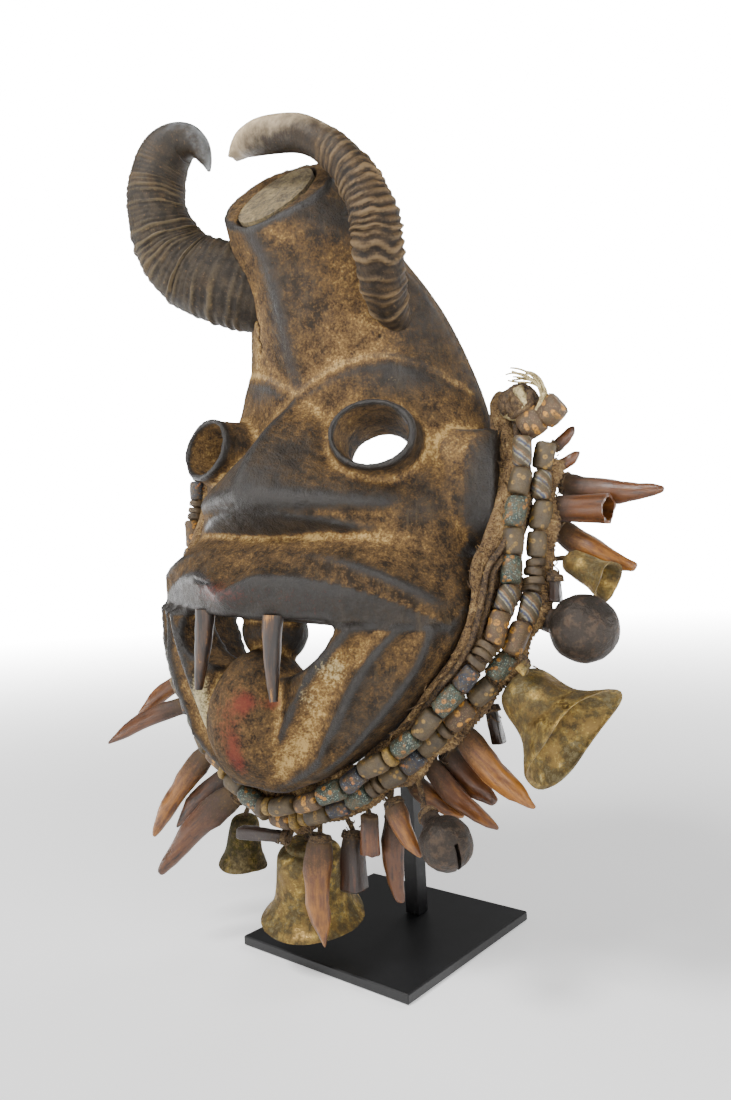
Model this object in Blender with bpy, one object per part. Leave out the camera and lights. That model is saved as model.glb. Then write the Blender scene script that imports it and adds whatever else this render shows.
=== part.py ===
"""Carved wooden face mask with horns, a bead beard and hanging teeth and bells, on its steel stand."""
from math import ceil, cos, exp, pi, radians, sin, sqrt

import bmesh
import bpy
from mathutils import Matrix, Vector

# Sizes are in millimetres and degrees; MM turns them into metres.
MM = 0.001
FIT_GAP = 0.4

# Stand: a square steel plate, and a square rod with an arm inside the mask.
BASE_SIDE = 102.0
BASE_THICK = 4.5
BASE_EDGE = 0.5
ROD_SIDE = 8.0
ROD_X = 4.4
ROD_Y = 19.0
ARM_LEVEL = 45.0
ARM_SIDE = 6.0
ARM_GAP = 4.0

# The mask hangs a little turned and rolled on its rod, about a point at lip height.
MOUNT_HEIGHT = 167.0
MOUNT_ROLL = 4.2
MOUNT_TURN = 3.0

# Mask block, by height above the pivot: half width, front depth, side depth, back depth,
# sideways lean and squareness of the section.
CHIN_Z = -77.0
CROWN_Z = 214.0
BLOCK_STATIONS = (
    (-77.0, 16.0, -84.0, -70.0, -60.0, 0.0, 2.2),
    (-66.0, 35.5, -86.0, -64.0, -52.0, 0.0, 2.4),
    (-40.0, 62.0, -86.0, -54.0, -36.0, 0.0, 2.8),
    (-16.0, 79.0, -84.0, -46.0, -22.0, 0.0, 3.0),
    (3.0, 85.5, -80.0, -46.0, -18.0, 0.0, 3.0),
    (28.0, 78.0, -78.0, -28.0, -8.0, 0.0, 2.4),
    (68.0, 76.0, -60.0, -16.0, 2.0, 0.0, 2.3),
    (97.0, 68.0, -58.0, -14.0, 6.0, 0.0, 1.8),
    (130.0, 55.0, -71.0, -22.0, 4.0, -1.0, 1.5),
    (150.0, 47.0, -79.0, -36.0, -6.0, -3.0, 1.5),
    (170.0, 37.0, -89.0, -52.0, -22.0, -5.0, 1.6),
    (190.0, 28.5, -97.0, -66.0, -42.0, -6.0, 1.8),
    (214.0, 24.0, -104.0, -76.0, -56.0, -7.0, 2.0),
)
ROW_STEP = 2.2
FRONT_COLUMNS = 84
BACK_COLUMNS = 18
WALL = 10.0
HOLLOW_TOP = 104.0
HOLLOW_BOTTOM = -58.0

# Crest top: a sloping flat, its plug and the plug's recess.
TOP_CENTRE = (-4.0, -66.0, 186.0)
TOP_SLOPE = 40.0
TOP_LEAN = 2.0
PLUG_WIDTH = 34.0
PLUG_LENGTH = 46.0
PLUG_DEPTH = 4.0
PLUG_PROUD = 0.6
PLUG_SHIFT = (0.0, -6.0)

# Brow arcs and the wedge of the nose.
NOTCH_Z = 96.5
ARC_PEAK_X = 41.0
ARC_PEAK_Z = 111.0
ARC_END_X = 72.0
ARC_DROP = 20.0
ARC_RIDGE = 1.8
MOUND_PROUD = 2.5
NOSE_TOP_Y = -58.0
NOSE_TIP_Y = -98.0
NOSE_BASE_Z = 42.0
NOSE_BASE_DROP = 10.5
NOSE_HALF = 58.0
NOSE_UNDERCUT = 1.25
NOSE_BLEND = 3.0

# Upper lip: a shelf from corner to corner.
LIP_HALF = 84.0
LIP_ROOT_Z = 25.0
LIP_ROOT_Y = -88.0
LIP_EDGE_Z = 15.5
LIP_DIP = 8.0
LIP_EDGE_Y = -107.5
LIP_LOW_Z = -4.0
LIP_LOW_Y = -100.0
LIP_CORNER_Y = -64.0

# Lower jaw, by height: half widths to the outer edge, outer ridge, middle ridge, tongue ridge,
# and their depths.
JAW_STATIONS = (
    (-5.0, 85.0, 80.0, 68.5, 52.5, -60.0, -71.0, -78.0, -88.0),
    (-16.0, 78.0, 77.0, 60.0, 44.5, -60.0, -72.5, -83.0, -92.0),
    (-26.0, 71.5, 72.0, 55.0, 36.5, -63.0, -75.0, -87.0, -94.0),
    (-40.0, 61.0, 61.5, 48.0, 28.0, -68.0, -78.0, -87.5, -94.0),
    (-52.0, 52.0, 52.5, 40.5, 21.5, -74.0, -79.0, -87.0, -93.0),
    (-63.0, 39.5, 38.5, 34.0, 15.5, -78.0, -82.0, -86.0, -90.0),
    (-77.0, 15.0, 12.0, 10.0, 7.0, -82.0, -83.5, -84.5, -85.0),
)
FLUTE_DEPTH = 4.5

# Mouth opening and tongue.
MOUTH_HALF = 44.0
MOUTH_DEPTH = 24.0
TONGUE_TOP = -17.0
TONGUE_HALF = 24.0
TONGUE_FRONT = -103.0
TONGUE_Z = -46.5
TONGUE_ROOT = (-4.0, -68.0, -11.0)
TONGUE_ROOT_SIZE = (17.0, 12.0, 14.0)

# Eye tubes: right and left, seen from the front, are cut at their own angles.
EYE_X = 50.0
EYE_Y = -70.6
EYE_Z = 74.0
EYE_WIDTH = 36.5
EYE_HEIGHT = 30.5
EYE_FLARE = 3.5
EYE_RIM = 2.4
EYE_HOLE_WIDTH = 24.0
EYE_HOLE_HEIGHT = 17.0
EYE_LENGTH = 30.0
EYE_BORE = 21.0
EYE_TURN = {1: 27.0, -1: 12.0}
EYE_LIFT = 11.0

# Ears: thin curved flaps.
EAR_LOW = 27.0
EAR_HIGH = 78.0
EAR_REACH = 87.5
EAR_ROOT = 66.0
EAR_THICK = 8.0
EAR_Y = -46.0
EAR_SWEEP = 12.0

VOXEL = 1.7
THIN_SHARE = 0.024

# Horns, each along its own curve: place of the centre line and radius.
HORN_SIDES = 8
SOCKET_ROOM = 0.9
RIB_HEIGHT = 0.05
HORN_LEFT = (
    (-19.0, -50.0, 144.5, 16.0), (-36.0, -60.0, 151.0, 20.0), (-54.0, -70.0, 158.0, 19.0),
    (-63.5, -77.0, 167.0, 17.4), (-67.5, -82.0, 179.0, 15.5), (-68.0, -85.0, 191.0, 14.0),
    (-66.0, -86.0, 203.0, 13.3), (-60.5, -85.0, 212.5, 11.8), (-52.0, -83.0, 216.5, 9.0),
    (-44.5, -81.0, 213.5, 6.0), (-41.0, -79.0, 207.0, 3.2), (-39.5, -78.0, 201.5, 0.8),
)
HORN_RIGHT = (
    (44.0, -52.0, 127.0, 8.8), (48.0, -60.0, 137.0, 9.8), (51.0, -68.0, 150.0, 10.7),
    (52.0, -72.0, 159.5, 10.2), (50.0, -75.0, 168.5, 9.2), (45.0, -77.0, 178.5, 8.4),
    (35.5, -78.0, 189.0, 7.6), (24.0, -78.0, 198.0, 7.7), (12.0, -77.0, 204.0, 7.9),
    (-4.5, -76.0, 208.5, 7.9), (-18.0, -74.0, 210.5, 6.6), (-25.5, -73.0, 209.5, 4.6),
)
HORN_RINGS = 22
RIBBED_SHARE = {"horn_left": 0.62, "horn_right": 0.66}

# Tusks under the upper lip.
TUSK_X = 20.0
TUSK_Y = -95.0
TUSK_LENGTH = 34.0
TUSK_RADIUS = 4.1
TUSK_SUNK = 4.0

# Padded collar on the flank of the wood, its right half from the chin to above the ear: place
# of the centre line, half thickness out from the wood and half depth. The left half ends lower.
COLLAR = (
    (0.0, -57.0, -80.8, 3.0, 8.0), (18.0, -57.0, -80.3, 3.0, 8.0), (38.5, -56.5, -69.5, 3.0, 8.0),
    (52.5, -55.0, -56.0, 2.6, 8.5), (64.4, -53.0, -42.2, 2.1, 10.5), (74.4, -50.0, -28.0, 2.2, 12.0),
    (81.8, -46.5, -17.6, 2.3, 13.0), (86.6, -43.5, -5.8, 2.4, 13.0), (88.6, -41.0, 6.0, 2.4, 13.0),
    (86.4, -37.0, 17.0, 2.8, 12.0), (88.0, -31.0, 28.0, 2.4, 10.0), (90.3, -24.0, 44.0, 1.9, 6.0),
    (87.5, -17.5, 62.0, 3.0, 5.5), (80.5, -12.5, 80.0, 3.2, 5.0), (74.0, -10.0, 97.0, 2.4, 4.5),
)
COLLAR_LEFT_STATIONS = 12
COLLAR_RINGS = 40
COLLAR_SIDES = 8

# Routes of the bead strands round the rim, by half width, drop below the lip, squareness,
# height at the ears, lean of the ends, and depth at chin, lip and ears.
INNER_ROUTE = (97.0, 86.5, 1.5, 74.0, 1.0, -76.0, -45.0, -30.0)
OUTER_ROUTE = (103.5, 95.0, 1.45, 72.0, 0.0, -66.0, -37.0, -22.0)
BEAD_RADIUS = 5.1
BEAD_LENGTH = 12.6
BEAD_SPACE = 1.6
CORD_RADIUS = 1.6
BEAD_SIDES = 5

# Knot where the cords are tied off, with the frayed end that stands up from it.
TUFT = (
    (101.0, -26.0, 80.5, 3.0), (97.0, -25.0, 84.0, 5.6), (92.5, -24.0, 89.5, 5.4),
    (91.0, -24.0, 94.0, 3.4), (89.0, -24.0, 99.0, 2.4), (88.0, -23.0, 103.0, 1.2),
)

# Hanging pieces: name, place along the outer route, outwards and back from it, lean from
# straight out, reach forward, length and width.
PENDANTS = (
    ("tooth_01", 222, 0, 9, -48, 2, 13, 6),
    ("tooth_02", 214, 1, 8, -30, 2, 13, 6),
    ("tooth_03", 208, 1, 17, 5, -2, 44, 11),
    ("horn_tube", 197, 3, 10, 2, -4, 24, 12),
    ("tooth_04", 189, 0, 19, 26, 0, 38, 12),
    ("bell_01", 176, 8, 12, 26, -2, 21, 18),
    ("block_01", 170, 8, 2, 88, 0, 12, 7),
    ("ball_01", 149, 1, 12, 2, -6, 22, 27),
    ("bell_02", 123, 6, 10, 5, -4, 32, 46),
    ("bead_01", 137, 11, -7, 100, 0, 5, 6),
    ("tooth_05", 93, 0, 10, -8, -4, 45, 13),
    ("tooth_06", 77, 1, 20, -8, 2, 31, 12),
    ("tooth_07", 70, 0, 14, -17, 0, 42, 10),
    ("tooth_08", 58, 4, 17, -29, 2, 27, 10),
    ("block_02", 108, 2, 14, 38, 0, 17, 8),
    ("ball_02", 67, 19, 0, -18, -6, 17, 21),
    ("tooth_09", 54, 7, 4, -3, -2, 26, 10),
    ("tooth_10", 46, 11, 15, 27, -2, 39, 11),
    ("tube_02", 41, 8, 5, 30, 0, 17, 9),
    ("block_03", 27, 11, 10, 20, -2, 26, 15),
    ("tooth_11", 17, 8, 2, 12, -6, 47, 13),
    ("bell_03", 0, 14, 17, 4, 6, 36, 50),
    ("bell_04", -32, 26, 16, -22, 2, 25, 25),
    ("peg_01", 2, 8, 1, 91, 0, 32, 7),
    ("tooth_12", -104, 3, 10, -1, -14, 44, 10),
    ("tooth_13", -88, 6, 6, 15, -22, 56, 10),
    ("tooth_14", -62, 9, 6, -8, -14, 57, 12),
    ("tooth_15", -47, 10, 14, 8, -14, 46, 12),
    ("tooth_16", -33, 8, 4, 11, -18, 58, 14),
    ("tooth_17", -224, -14, 20, -32, 2, 26, 8),
    ("tooth_18", -206, 2, 14, 10, 16, 30, 8),
    ("tooth_19", -192, 2, 13, -8, 18, 26, 9),
    ("bell_05", -172, 3, 16, 5, 18, 22, 20),
    ("tooth_20", -156, 2, 12, 12, 16, 30, 9),
    ("ball_03", -138, 3, 16, 0, 20, 19, 20),
    ("tooth_21", -121, 2, 14, 10, 16, 28, 9),
    ("block_04", -76, 3, 16, 5, 10, 20, 9),
)
TOOTH_BEND = 0.06
TOOTH_SIDES = 6
BELL_SIDES = 14
BELL_WALL = 1.5
TUBE_WALL = 1.3


def blend(stations, z):
    """Smooth values between the stations on either side of z."""
    if z <= stations[0][0] or z >= stations[-1][0]:
        last = stations[0] if z <= stations[0][0] else stations[-1]
        return last[1:]
    count = len(stations)
    for i in range(count - 1):
        if z <= stations[i + 1][0]:
            break
    a, b = stations[i], stations[i + 1]
    before, after = stations[max(i - 1, 0)], stations[min(i + 2, count - 1)]
    span = b[0] - a[0]
    t = (z - a[0]) / span
    values = []
    for k in range(1, len(a)):
        slope_a = (b[k] - before[k]) / (b[0] - before[0]) * span
        slope_b = (after[k] - a[k]) / (after[0] - a[0]) * span
        values.append((2 * t**3 - 3 * t**2 + 1) * a[k] + (t**3 - 2 * t**2 + t) * slope_a
                      + (3 * t**2 - 2 * t**3) * b[k] + (t**3 - t**2) * slope_b)
    return values


def falling(stations, z):
    """The same for stations listed from high to low."""
    return blend(tuple(stations[::-1]), z)


def ramp(low, high, value):
    t = min(max((value - low) / (high - low), 0.0), 1.0)
    return t * t * (3 - 2 * t)


def mix(a, b, t):
    return a + (b - a) * t


def soft_min(a, b, radius):
    """The nearer to the viewer of two depths, with a rounded meeting."""
    h = max(radius - abs(a - b), 0.0) / radius
    return min(a, b) - h * h * radius / 4


def round_front(x, half, front, side, square):
    share = max(1 - (min(abs(x) / half, 1.0)) ** square, 0.0)
    return side + (front - side) * share ** (1 / square)


def arc_height(x):
    """Height of the brow's arc at x."""
    if x < ARC_PEAK_X:
        return ARC_PEAK_Z - (ARC_PEAK_Z - NOTCH_Z) * ((ARC_PEAK_X - x) / ARC_PEAK_X) ** 1.7
    return ARC_PEAK_Z - ARC_DROP * ((x - ARC_PEAK_X) / (ARC_END_X - ARC_PEAK_X)) ** 2


def nose_depth(x, z):
    """Depth of the nose's wedge, and of its sloping underside below the edge."""
    edge_z = NOSE_BASE_Z - NOSE_BASE_DROP * (x / NOSE_HALF) ** 1.8
    above = max(z, edge_z)
    t = (NOTCH_Z - above) / (NOTCH_Z - NOSE_BASE_Z)
    ridge = NOSE_TOP_Y + (NOSE_TIP_Y - NOSE_TOP_Y) * sin(min(max(t, 0.0), 1.0) * 0.54 * pi)
    spread = mix(0.78, 0.1, ramp(0.35, 1.0, t))
    return ridge + spread * x + 0.0076 * x * x + NOSE_UNDERCUT * (above - z)


def lip_depth(x, z):
    """Depth of the upper lip's shelf between its root and its lower edge."""
    share = min(x / LIP_HALF, 1.0)
    round_in = sqrt(max(1 - share**3, 0.0))
    root_z = mix(4.0, LIP_ROOT_Z, (1 - share**3.2))
    root_y = mix(LIP_CORNER_Y + 10, LIP_ROOT_Y, round_in)
    edge_z = mix(LIP_LOW_Z, LIP_EDGE_Z, (1 - share**2.6)) - LIP_DIP * exp(-((x / 11.0) ** 2))
    edge_y = mix(LIP_EDGE_Y, LIP_CORNER_Y, share**1.3)
    low_y = mix(LIP_LOW_Y, LIP_CORNER_Y + 1, share**1.5)
    if z > root_z:
        return root_y + (z - root_z) * 1.6
    if z > edge_z:
        return mix(edge_y, root_y, (z - edge_z) / (root_z - edge_z))
    return mix(edge_y, low_y, (edge_z - z) / max(edge_z - LIP_LOW_Z, 0.5))


def jaw_depth(x, z):
    """Depth of the lower jaw: an outer bevel, two flutes and the trough beside the tongue."""
    edge, outer, middle, inner, edge_y, outer_y, middle_y, inner_y = falling(JAW_STATIONS, z)
    if x > outer:
        return mix(outer_y, edge_y, min((x - outer) / max(edge - outer, 1.0), 1.5))
    fade = ramp(-74.0, -50.0, z)
    if x > middle:
        t = (x - middle) / max(outer - middle, 1.0)
        return mix(middle_y, outer_y, t) + FLUTE_DEPTH * 0.7 * fade * sin(pi * t)
    if x > inner:
        t = (x - inner) / max(middle - inner, 1.0)
        return mix(inner_y, middle_y, t) + FLUTE_DEPTH * fade * sin(pi * t)
    return inner_y + 2 * FLUTE_DEPTH * fade * sin(0.5 * pi * (1 - x / max(inner, 1.0)))


def face_depth(x, z):
    """Depth of the whole carved front at a point of the front view."""
    half, front, side, back, lean, square = blend(BLOCK_STATIONS, z)
    across = abs(x - lean)
    depth = round_front(x - lean, half, front, side, square)
    arc = arc_height(across)
    inside = ramp(0.0, 5.0, arc - z) * ramp(half, half - 16, across)
    depth -= MOUND_PROUD * inside * ramp(30.0, 44.0, z)
    depth -= ARC_RIDGE * exp(-(((z - arc) / 2.4) ** 2)) * ramp(half, half - 12, across)
    if 20 < z < NOTCH_Z + 4:
        depth = soft_min(depth, nose_depth(across, z), NOSE_BLEND)
    if LIP_LOW_Z - 2 < z < 34 and across < LIP_HALF + 4:
        depth = soft_min(depth, lip_depth(across, z), 1.5)
    if z < LIP_LOW_Z + 1:
        depth = jaw_depth(across, z)
    return min(depth, side)


def make_object(name, bm, cutter=False):
    mesh = bpy.data.meshes.new(name)
    bm.to_mesh(mesh)
    bm.free()
    thing = bpy.data.objects.new(name, mesh)
    bpy.context.scene.collection.objects.link(thing)
    if cutter:
        thing.hide_render = True
        thing.display_type = "WIRE"
    return thing


def loft(rings):
    """Closed body through rings of equal length, each a list of points in millimetres."""
    bm = bmesh.new()
    rows = [[bm.verts.new(Vector(p) * MM) for p in ring] for ring in rings]
    count = len(rings[0])
    for low, high in zip(rows, rows[1:]):
        for i in range(count):
            j = (i + 1) % count
            bm.faces.new((low[i], low[j], high[j], high[i]))
    bm.faces.new(rows[0][::-1])
    bm.faces.new(rows[-1])
    bmesh.ops.recalc_face_normals(bm, faces=bm.faces)
    return bm


def mask_block():
    """The wood block, carved in front and plain behind."""
    rings = []
    rows = int(ceil((CROWN_Z - CHIN_Z) / ROW_STEP))
    for r in range(rows + 1):
        z = mix(CHIN_Z, CROWN_Z, r / rows)
        half, front, side, back, lean, square = blend(BLOCK_STATIONS, z)
        ring = []
        for c in range(FRONT_COLUMNS + 1):
            x = lean + half * sin(pi * (c / FRONT_COLUMNS - 0.5))
            ring.append((x, face_depth(x, z), z))
        for c in range(1, BACK_COLUMNS):
            a = pi * c / BACK_COLUMNS
            ring.append((lean + half * cos(a), side + (back - side) * sin(a) ** 0.6, z))
        rings.append(ring)
    bm = loft(rings)
    centre = Vector(TOP_CENTRE) * MM
    slope = Matrix.Rotation(radians(TOP_LEAN), 3, "Y") @ Matrix.Rotation(radians(TOP_SLOPE), 3, "X")
    normal = slope @ Vector((0, 0, 1))
    cut = bmesh.ops.bisect_plane(bm, geom=bm.verts[:] + bm.edges[:] + bm.faces[:], dist=1e-7,
                                 plane_co=centre, plane_no=normal, clear_outer=True)
    rim = [e for e in cut["geom_cut"] if isinstance(e, bmesh.types.BMEdge)]
    bmesh.ops.edgeloop_fill(bm, edges=rim)
    bmesh.ops.recalc_face_normals(bm, faces=bm.faces)
    return make_object("mask_body", bm)


def hollow_cutter():
    rings = []
    rows = 26
    for r in range(rows + 1):
        z = mix(HOLLOW_BOTTOM, HOLLOW_TOP, r / rows)
        half, front, side, back, lean, square = blend(BLOCK_STATIONS, z)
        close = sin(pi * min(r + 1.5, rows - r + 1.5, rows / 2) / rows) ** 0.6
        inner_half = (half - WALL) * mix(0.55, 1.0, close)
        inner_front = mix(side, front + WALL, close)
        ring = []
        for c in range(29):
            a = pi * c / 28
            ring.append((-inner_half * cos(a), side + (inner_front - side) * sin(a) ** 0.8, z))
        ring.append((inner_half, 60.0, z))
        ring.append((-inner_half, 60.0, z))
        rings.append(ring)
    return make_object("hollow_cutter", loft(rings), cutter=True)


def mouth_cutter():
    """A half moon between the lip's lower edge and the jaw's inner ridges."""
    outline = []
    for i in range(17):
        a = pi * i / 16
        outline.append((MOUTH_HALF * cos(a), LIP_LOW_Z - 0.5 - MOUTH_DEPTH * sin(a) ** 0.8))
    rings = [[(x, y, z) for x, z in outline] for y in (-130.0, -30.0)]
    return make_object("mouth_cutter", loft(rings), cutter=True)


def tongue_root():
    bm = bmesh.new()
    bmesh.ops.create_uvsphere(bm, u_segments=20, v_segments=12, radius=1.0)
    for v in bm.verts:
        v.co = Vector([c + r * q for c, r, q in zip(TONGUE_ROOT, TONGUE_ROOT_SIZE, v.co)]) * MM
    return make_object("tongue_root_form", bm, cutter=True)


def tongue():
    bm = bmesh.new()
    bmesh.ops.create_uvsphere(bm, u_segments=24, v_segments=16, radius=1.0)
    height = TONGUE_TOP - TONGUE_Z
    depth = 24.0
    for v in bm.verts:
        swell = 1 - 0.14 * v.co.z
        v.co = Vector((v.co.x * TONGUE_HALF * swell, TONGUE_FRONT + depth + v.co.y * depth,
                       TONGUE_Z + v.co.z * height)) * MM
    return make_object("tongue_form", bm, cutter=True)


def eye_axes(side):
    turn, lift = radians(EYE_TURN[side]), radians(EYE_LIFT)
    forward = Vector((side * sin(turn) * cos(lift), -cos(turn) * cos(lift), sin(lift)))
    across = Vector((cos(turn), side * sin(turn), 0.0))
    return forward, across, across.cross(forward) * -1


def oval_ring(centre, across, up, width, height, count=28):
    ring = []
    for i in range(count):
        a = 2 * pi * i / count
        ring.append(centre + across * (0.5 * width * cos(a)) + up * (0.5 * height * sin(a)))
    return ring


def eye_tube(side):
    forward, across, up = eye_axes(side)
    rim = Vector((side * EYE_X, EYE_Y, EYE_Z))
    steps = ((0.0, -1.2), (0.6, 0.0), (6.0, 0.0), (14.0, EYE_FLARE * 0.4),
             (22.0, EYE_FLARE), (EYE_LENGTH, EYE_FLARE * 2))
    rings = [oval_ring(rim - forward * d, across, up, EYE_WIDTH + 2 * g, EYE_HEIGHT + 2 * g)
             for d, g in steps]
    return make_object("eye_tube_form_%d" % (side > 0), loft(rings), cutter=True)


def eye_cutter(side):
    """Funnel from inside the rim down to the hole, and on through the wall."""
    forward, across, up = eye_axes(side)
    rim = Vector((side * EYE_X, EYE_Y, EYE_Z))
    wide, tall = EYE_WIDTH - 2 * EYE_RIM, EYE_HEIGHT - 2 * EYE_RIM
    steps = ((-4.0, 1.0), (4.0, 1.0), (EYE_BORE, 0.0), (EYE_BORE + 30.0, 0.15))
    rings = []
    for d, share in steps:
        rings.append(oval_ring(rim - forward * d, across, up, mix(EYE_HOLE_WIDTH, wide, share),
                               mix(EYE_HOLE_HEIGHT, tall, share), 24))
    return make_object("eye_cutter_%d" % (side > 0), loft(rings), cutter=True)


def ear(side):
    """A flap that stands out of the cheek and bends forward at its edge."""
    rings = []
    for r in range(9):
        t = r / 8
        z = mix(EAR_LOW, EAR_HIGH, t)
        reach = mix(EAR_ROOT + 12, EAR_REACH, sin(pi * mix(0.12, 0.86, t)) ** 0.5)
        ring = []
        for c in range(7):
            u = c / 6
            ring.append((side * mix(EAR_ROOT, reach, u), EAR_Y + EAR_SWEEP * u**1.5, z))
        for c in range(6, -1, -1):
            u = c / 6
            ring.append((side * mix(EAR_ROOT, reach - 1, u), EAR_Y + EAR_SWEEP * u**1.5 + EAR_THICK, z))
        rings.append(ring if side > 0 else ring[::-1])
    return make_object("ear_form_%d" % (side > 0), loft(rings), cutter=True)


def frame_along(direction, hint=Vector((0, -1, 0))):
    """Two directions square to a direction, the first as near the hint as it can be."""
    direction = direction.normalized()
    first = hint - direction * hint.dot(direction)
    if first.length < 1e-4:
        first = Vector((1, 0, 0)) - direction * direction.x
    first.normalize()
    return first, direction.cross(first)


def curve_point(stations, t):
    """Point of a smooth curve through the stations at a share t of the way."""
    count = len(stations) - 1
    knots = tuple((i / count,) + tuple(s) for i, s in enumerate(stations))
    return blend(knots, t)


def curve_direction(stations, t):
    low, high = max(t - 0.01, 0.0), min(t + 0.01, 1.0)
    a, b = curve_point(stations, low), curve_point(stations, high)
    return (Vector(b[:3]) - Vector(a[:3])).normalized()


def ring_at(centre, across, up, half_width, half_height, sides, phase=0.0):
    ring = []
    for i in range(sides):
        a = 2 * pi * (i + phase) / sides
        ring.append(centre + across * (half_width * cos(a)) + up * (half_height * sin(a)))
    return ring


def horn_rings(stations, ribbed, grow=0.0, low=0.0, high=1.0, count=HORN_RINGS, sides=HORN_SIDES):
    rings = []
    for r in range(count):
        t = mix(low, high, r / (count - 1))
        x, y, z, radius = curve_point(stations, t)
        rib = RIB_HEIGHT * (-1) ** r if 0.12 < t < ribbed else 0.0
        up, across = frame_along(curve_direction(stations, t))
        size = radius * (1 + rib) + grow
        rings.append(ring_at(Vector((x, y, z)), across, up, size, size, sides))
    return rings


def horn(name, stations):
    return make_object(name, loft(horn_rings(stations, RIBBED_SHARE[name])))


def horn_socket(name, stations):
    """Room for the horn's root in the wood, a fit gap wider than the horn."""
    rings = horn_rings(stations, 0.0, SOCKET_ROOM, 0.0, 0.3, 8, 18)
    start = curve_direction(stations, 0.0) * -SOCKET_ROOM
    rings[0] = [p + start for p in rings[0]]
    return make_object(name + "_socket", loft(rings), cutter=True)


def top_axes():
    slope = Matrix.Rotation(radians(TOP_LEAN), 3, "Y") @ Matrix.Rotation(radians(TOP_SLOPE), 3, "X")
    return [slope @ Vector(v) for v in ((1, 0, 0), (0, 1, 0), (0, 0, 1))]


def plug_rings(low, high, grow, sides):
    across, along, normal = top_axes()
    centre = Vector(TOP_CENTRE) + across * PLUG_SHIFT[0] + along * PLUG_SHIFT[1]
    return [ring_at(centre + normal * h, across, along, PLUG_WIDTH / 2 + grow,
                    PLUG_LENGTH / 2 + grow, sides) for h in (low, high)]


def crest_plug():
    return make_object("crest_plug", loft(plug_rings(-PLUG_DEPTH + FIT_GAP, PLUG_PROUD, 0.0, 24)))


def plug_recess():
    rings = plug_rings(-PLUG_DEPTH, 12.0, FIT_GAP, 24)
    return make_object("plug_recess", loft(rings), cutter=True)


def tusk(side):
    rings = []
    for t in (0.0, 0.3, 0.6, 0.85, 1.0):
        radius = TUSK_RADIUS * (1 - 0.72 * t**1.8)
        bend = 5.0 * t * t
        centre = Vector((side * TUSK_X + 0.4 * bend, TUSK_Y - bend * 0.3,
                         LIP_LOW_Z + TUSK_SUNK - 0.5 - (TUSK_LENGTH + TUSK_SUNK) * t))
        rings.append(ring_at(centre, Vector((1, 0, 0)), Vector((0, 1, 0)), radius, radius, 8))
    return make_object("tusk_right" if side > 0 else "tusk_left", loft(rings))


def tusk_socket(side):
    radius = TUSK_RADIUS + FIT_GAP
    centre = Vector((side * TUSK_X, TUSK_Y, LIP_LOW_Z - 0.5))
    rings = [ring_at(centre + Vector((0, 0, h)), Vector((1, 0, 0)), Vector((0, 1, 0)), radius, radius, 16)
             for h in (TUSK_SUNK + FIT_GAP, -3.0)]
    return make_object("tusk_socket_%d" % (side > 0), loft(rings), cutter=True)


class Route:
    """A path round the rim, measured along its length from the chin: right side positive."""

    def __init__(self, half, drop, square, top, lean, chin_y, lip_y, ear_y):
        side = []
        for i in range(81):
            a = 0.5 * pi * i / 80
            z = -drop * cos(a) ** (2 / square)
            side.append(Vector((half * sin(a) ** (2 / square), mix(lip_y, chin_y, (-z / drop) ** 0.8), z)))
        for i in range(1, 25):
            share = i / 24
            side.append(Vector((half + lean * share**2, mix(lip_y, ear_y, share**0.5), top * share)))
        mirrored = [Vector((-p.x, p.y, p.z)) for p in side[:0:-1]]
        self.points = mirrored + side
        lengths = [0.0]
        for a, b in zip(self.points, self.points[1:]):
            lengths.append(lengths[-1] + (b - a).length)
        middle = lengths[len(mirrored)]
        self.places = [value - middle for value in lengths]
        self.reach = self.places[-1]

    def at(self, place):
        """Point, direction along the path and direction outwards at a place."""
        last = len(self.places) - 2
        i = 0
        while i < last and self.places[i + 1] < place:
            i += 1
        t = (place - self.places[i]) / (self.places[i + 1] - self.places[i])
        point = self.points[i].lerp(self.points[i + 1], t)
        low, high = max(i - 2, 0), min(i + 3, last + 1)
        along = (self.points[high] - self.points[low]).normalized()
        outward = Vector((along.z, 0.0, -along.x)).normalized()
        return point, along, outward


def beard_collar():
    """Padded band round the flank of the wood, from ear to ear under the chin."""
    left = [(-x, y, z, out, deep) for x, y, z, out, deep in COLLAR[COLLAR_LEFT_STATIONS:0:-1]]
    stations = tuple(left) + COLLAR
    rings = []
    for r in range(COLLAR_RINGS + 1):
        x, y, z, out, deep = curve_point(stations, r / COLLAR_RINGS)
        along = curve_direction(stations, r / COLLAR_RINGS)
        outward = Vector((along.z, 0.0, -along.x)).normalized()
        back = along.cross(outward).normalized()
        taper = sqrt(min(min(r, COLLAR_RINGS - r) * 0.5 + 0.25, 1.0))
        rings.append(ring_at(Vector((x, y, z)), outward, back, out * taper, deep * taper, COLLAR_SIDES))
    return make_object("beard_collar", loft(rings))


def bead_strand(name, values):
    """One cord with its beads: thin between the beads and full along each of them."""
    route = Route(*values)
    count = int(2 * route.reach / BEAD_LENGTH)
    pitch = 2 * route.reach / count
    rings = []
    for i in range(count):
        start = -route.reach + i * pitch
        size = BEAD_RADIUS * (0.94 + 0.06 * cos(2.4 * i))
        for place, radius in ((0.0, CORD_RADIUS), (BEAD_SPACE / 2, size), (pitch - BEAD_SPACE / 2, size)):
            point, along, outward = route.at(start + place)
            rings.append(ring_at(point, outward, along.cross(outward), radius, radius, BEAD_SIDES, 0.5))
    point, along, outward = route.at(route.reach)
    rings.append(ring_at(point, outward, along.cross(outward), CORD_RADIUS, CORD_RADIUS, BEAD_SIDES, 0.5))
    return make_object(name, loft(rings))


def cord_tuft():
    rings = []
    for i, (x, y, z, radius) in enumerate(TUFT):
        t = i / (len(TUFT) - 1)
        up, across = frame_along(curve_direction(TUFT, t))
        rings.append(ring_at(Vector((x, y, z)), across, up, radius, radius, 7))
    return make_object("cord_tuft", loft(rings))


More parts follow.
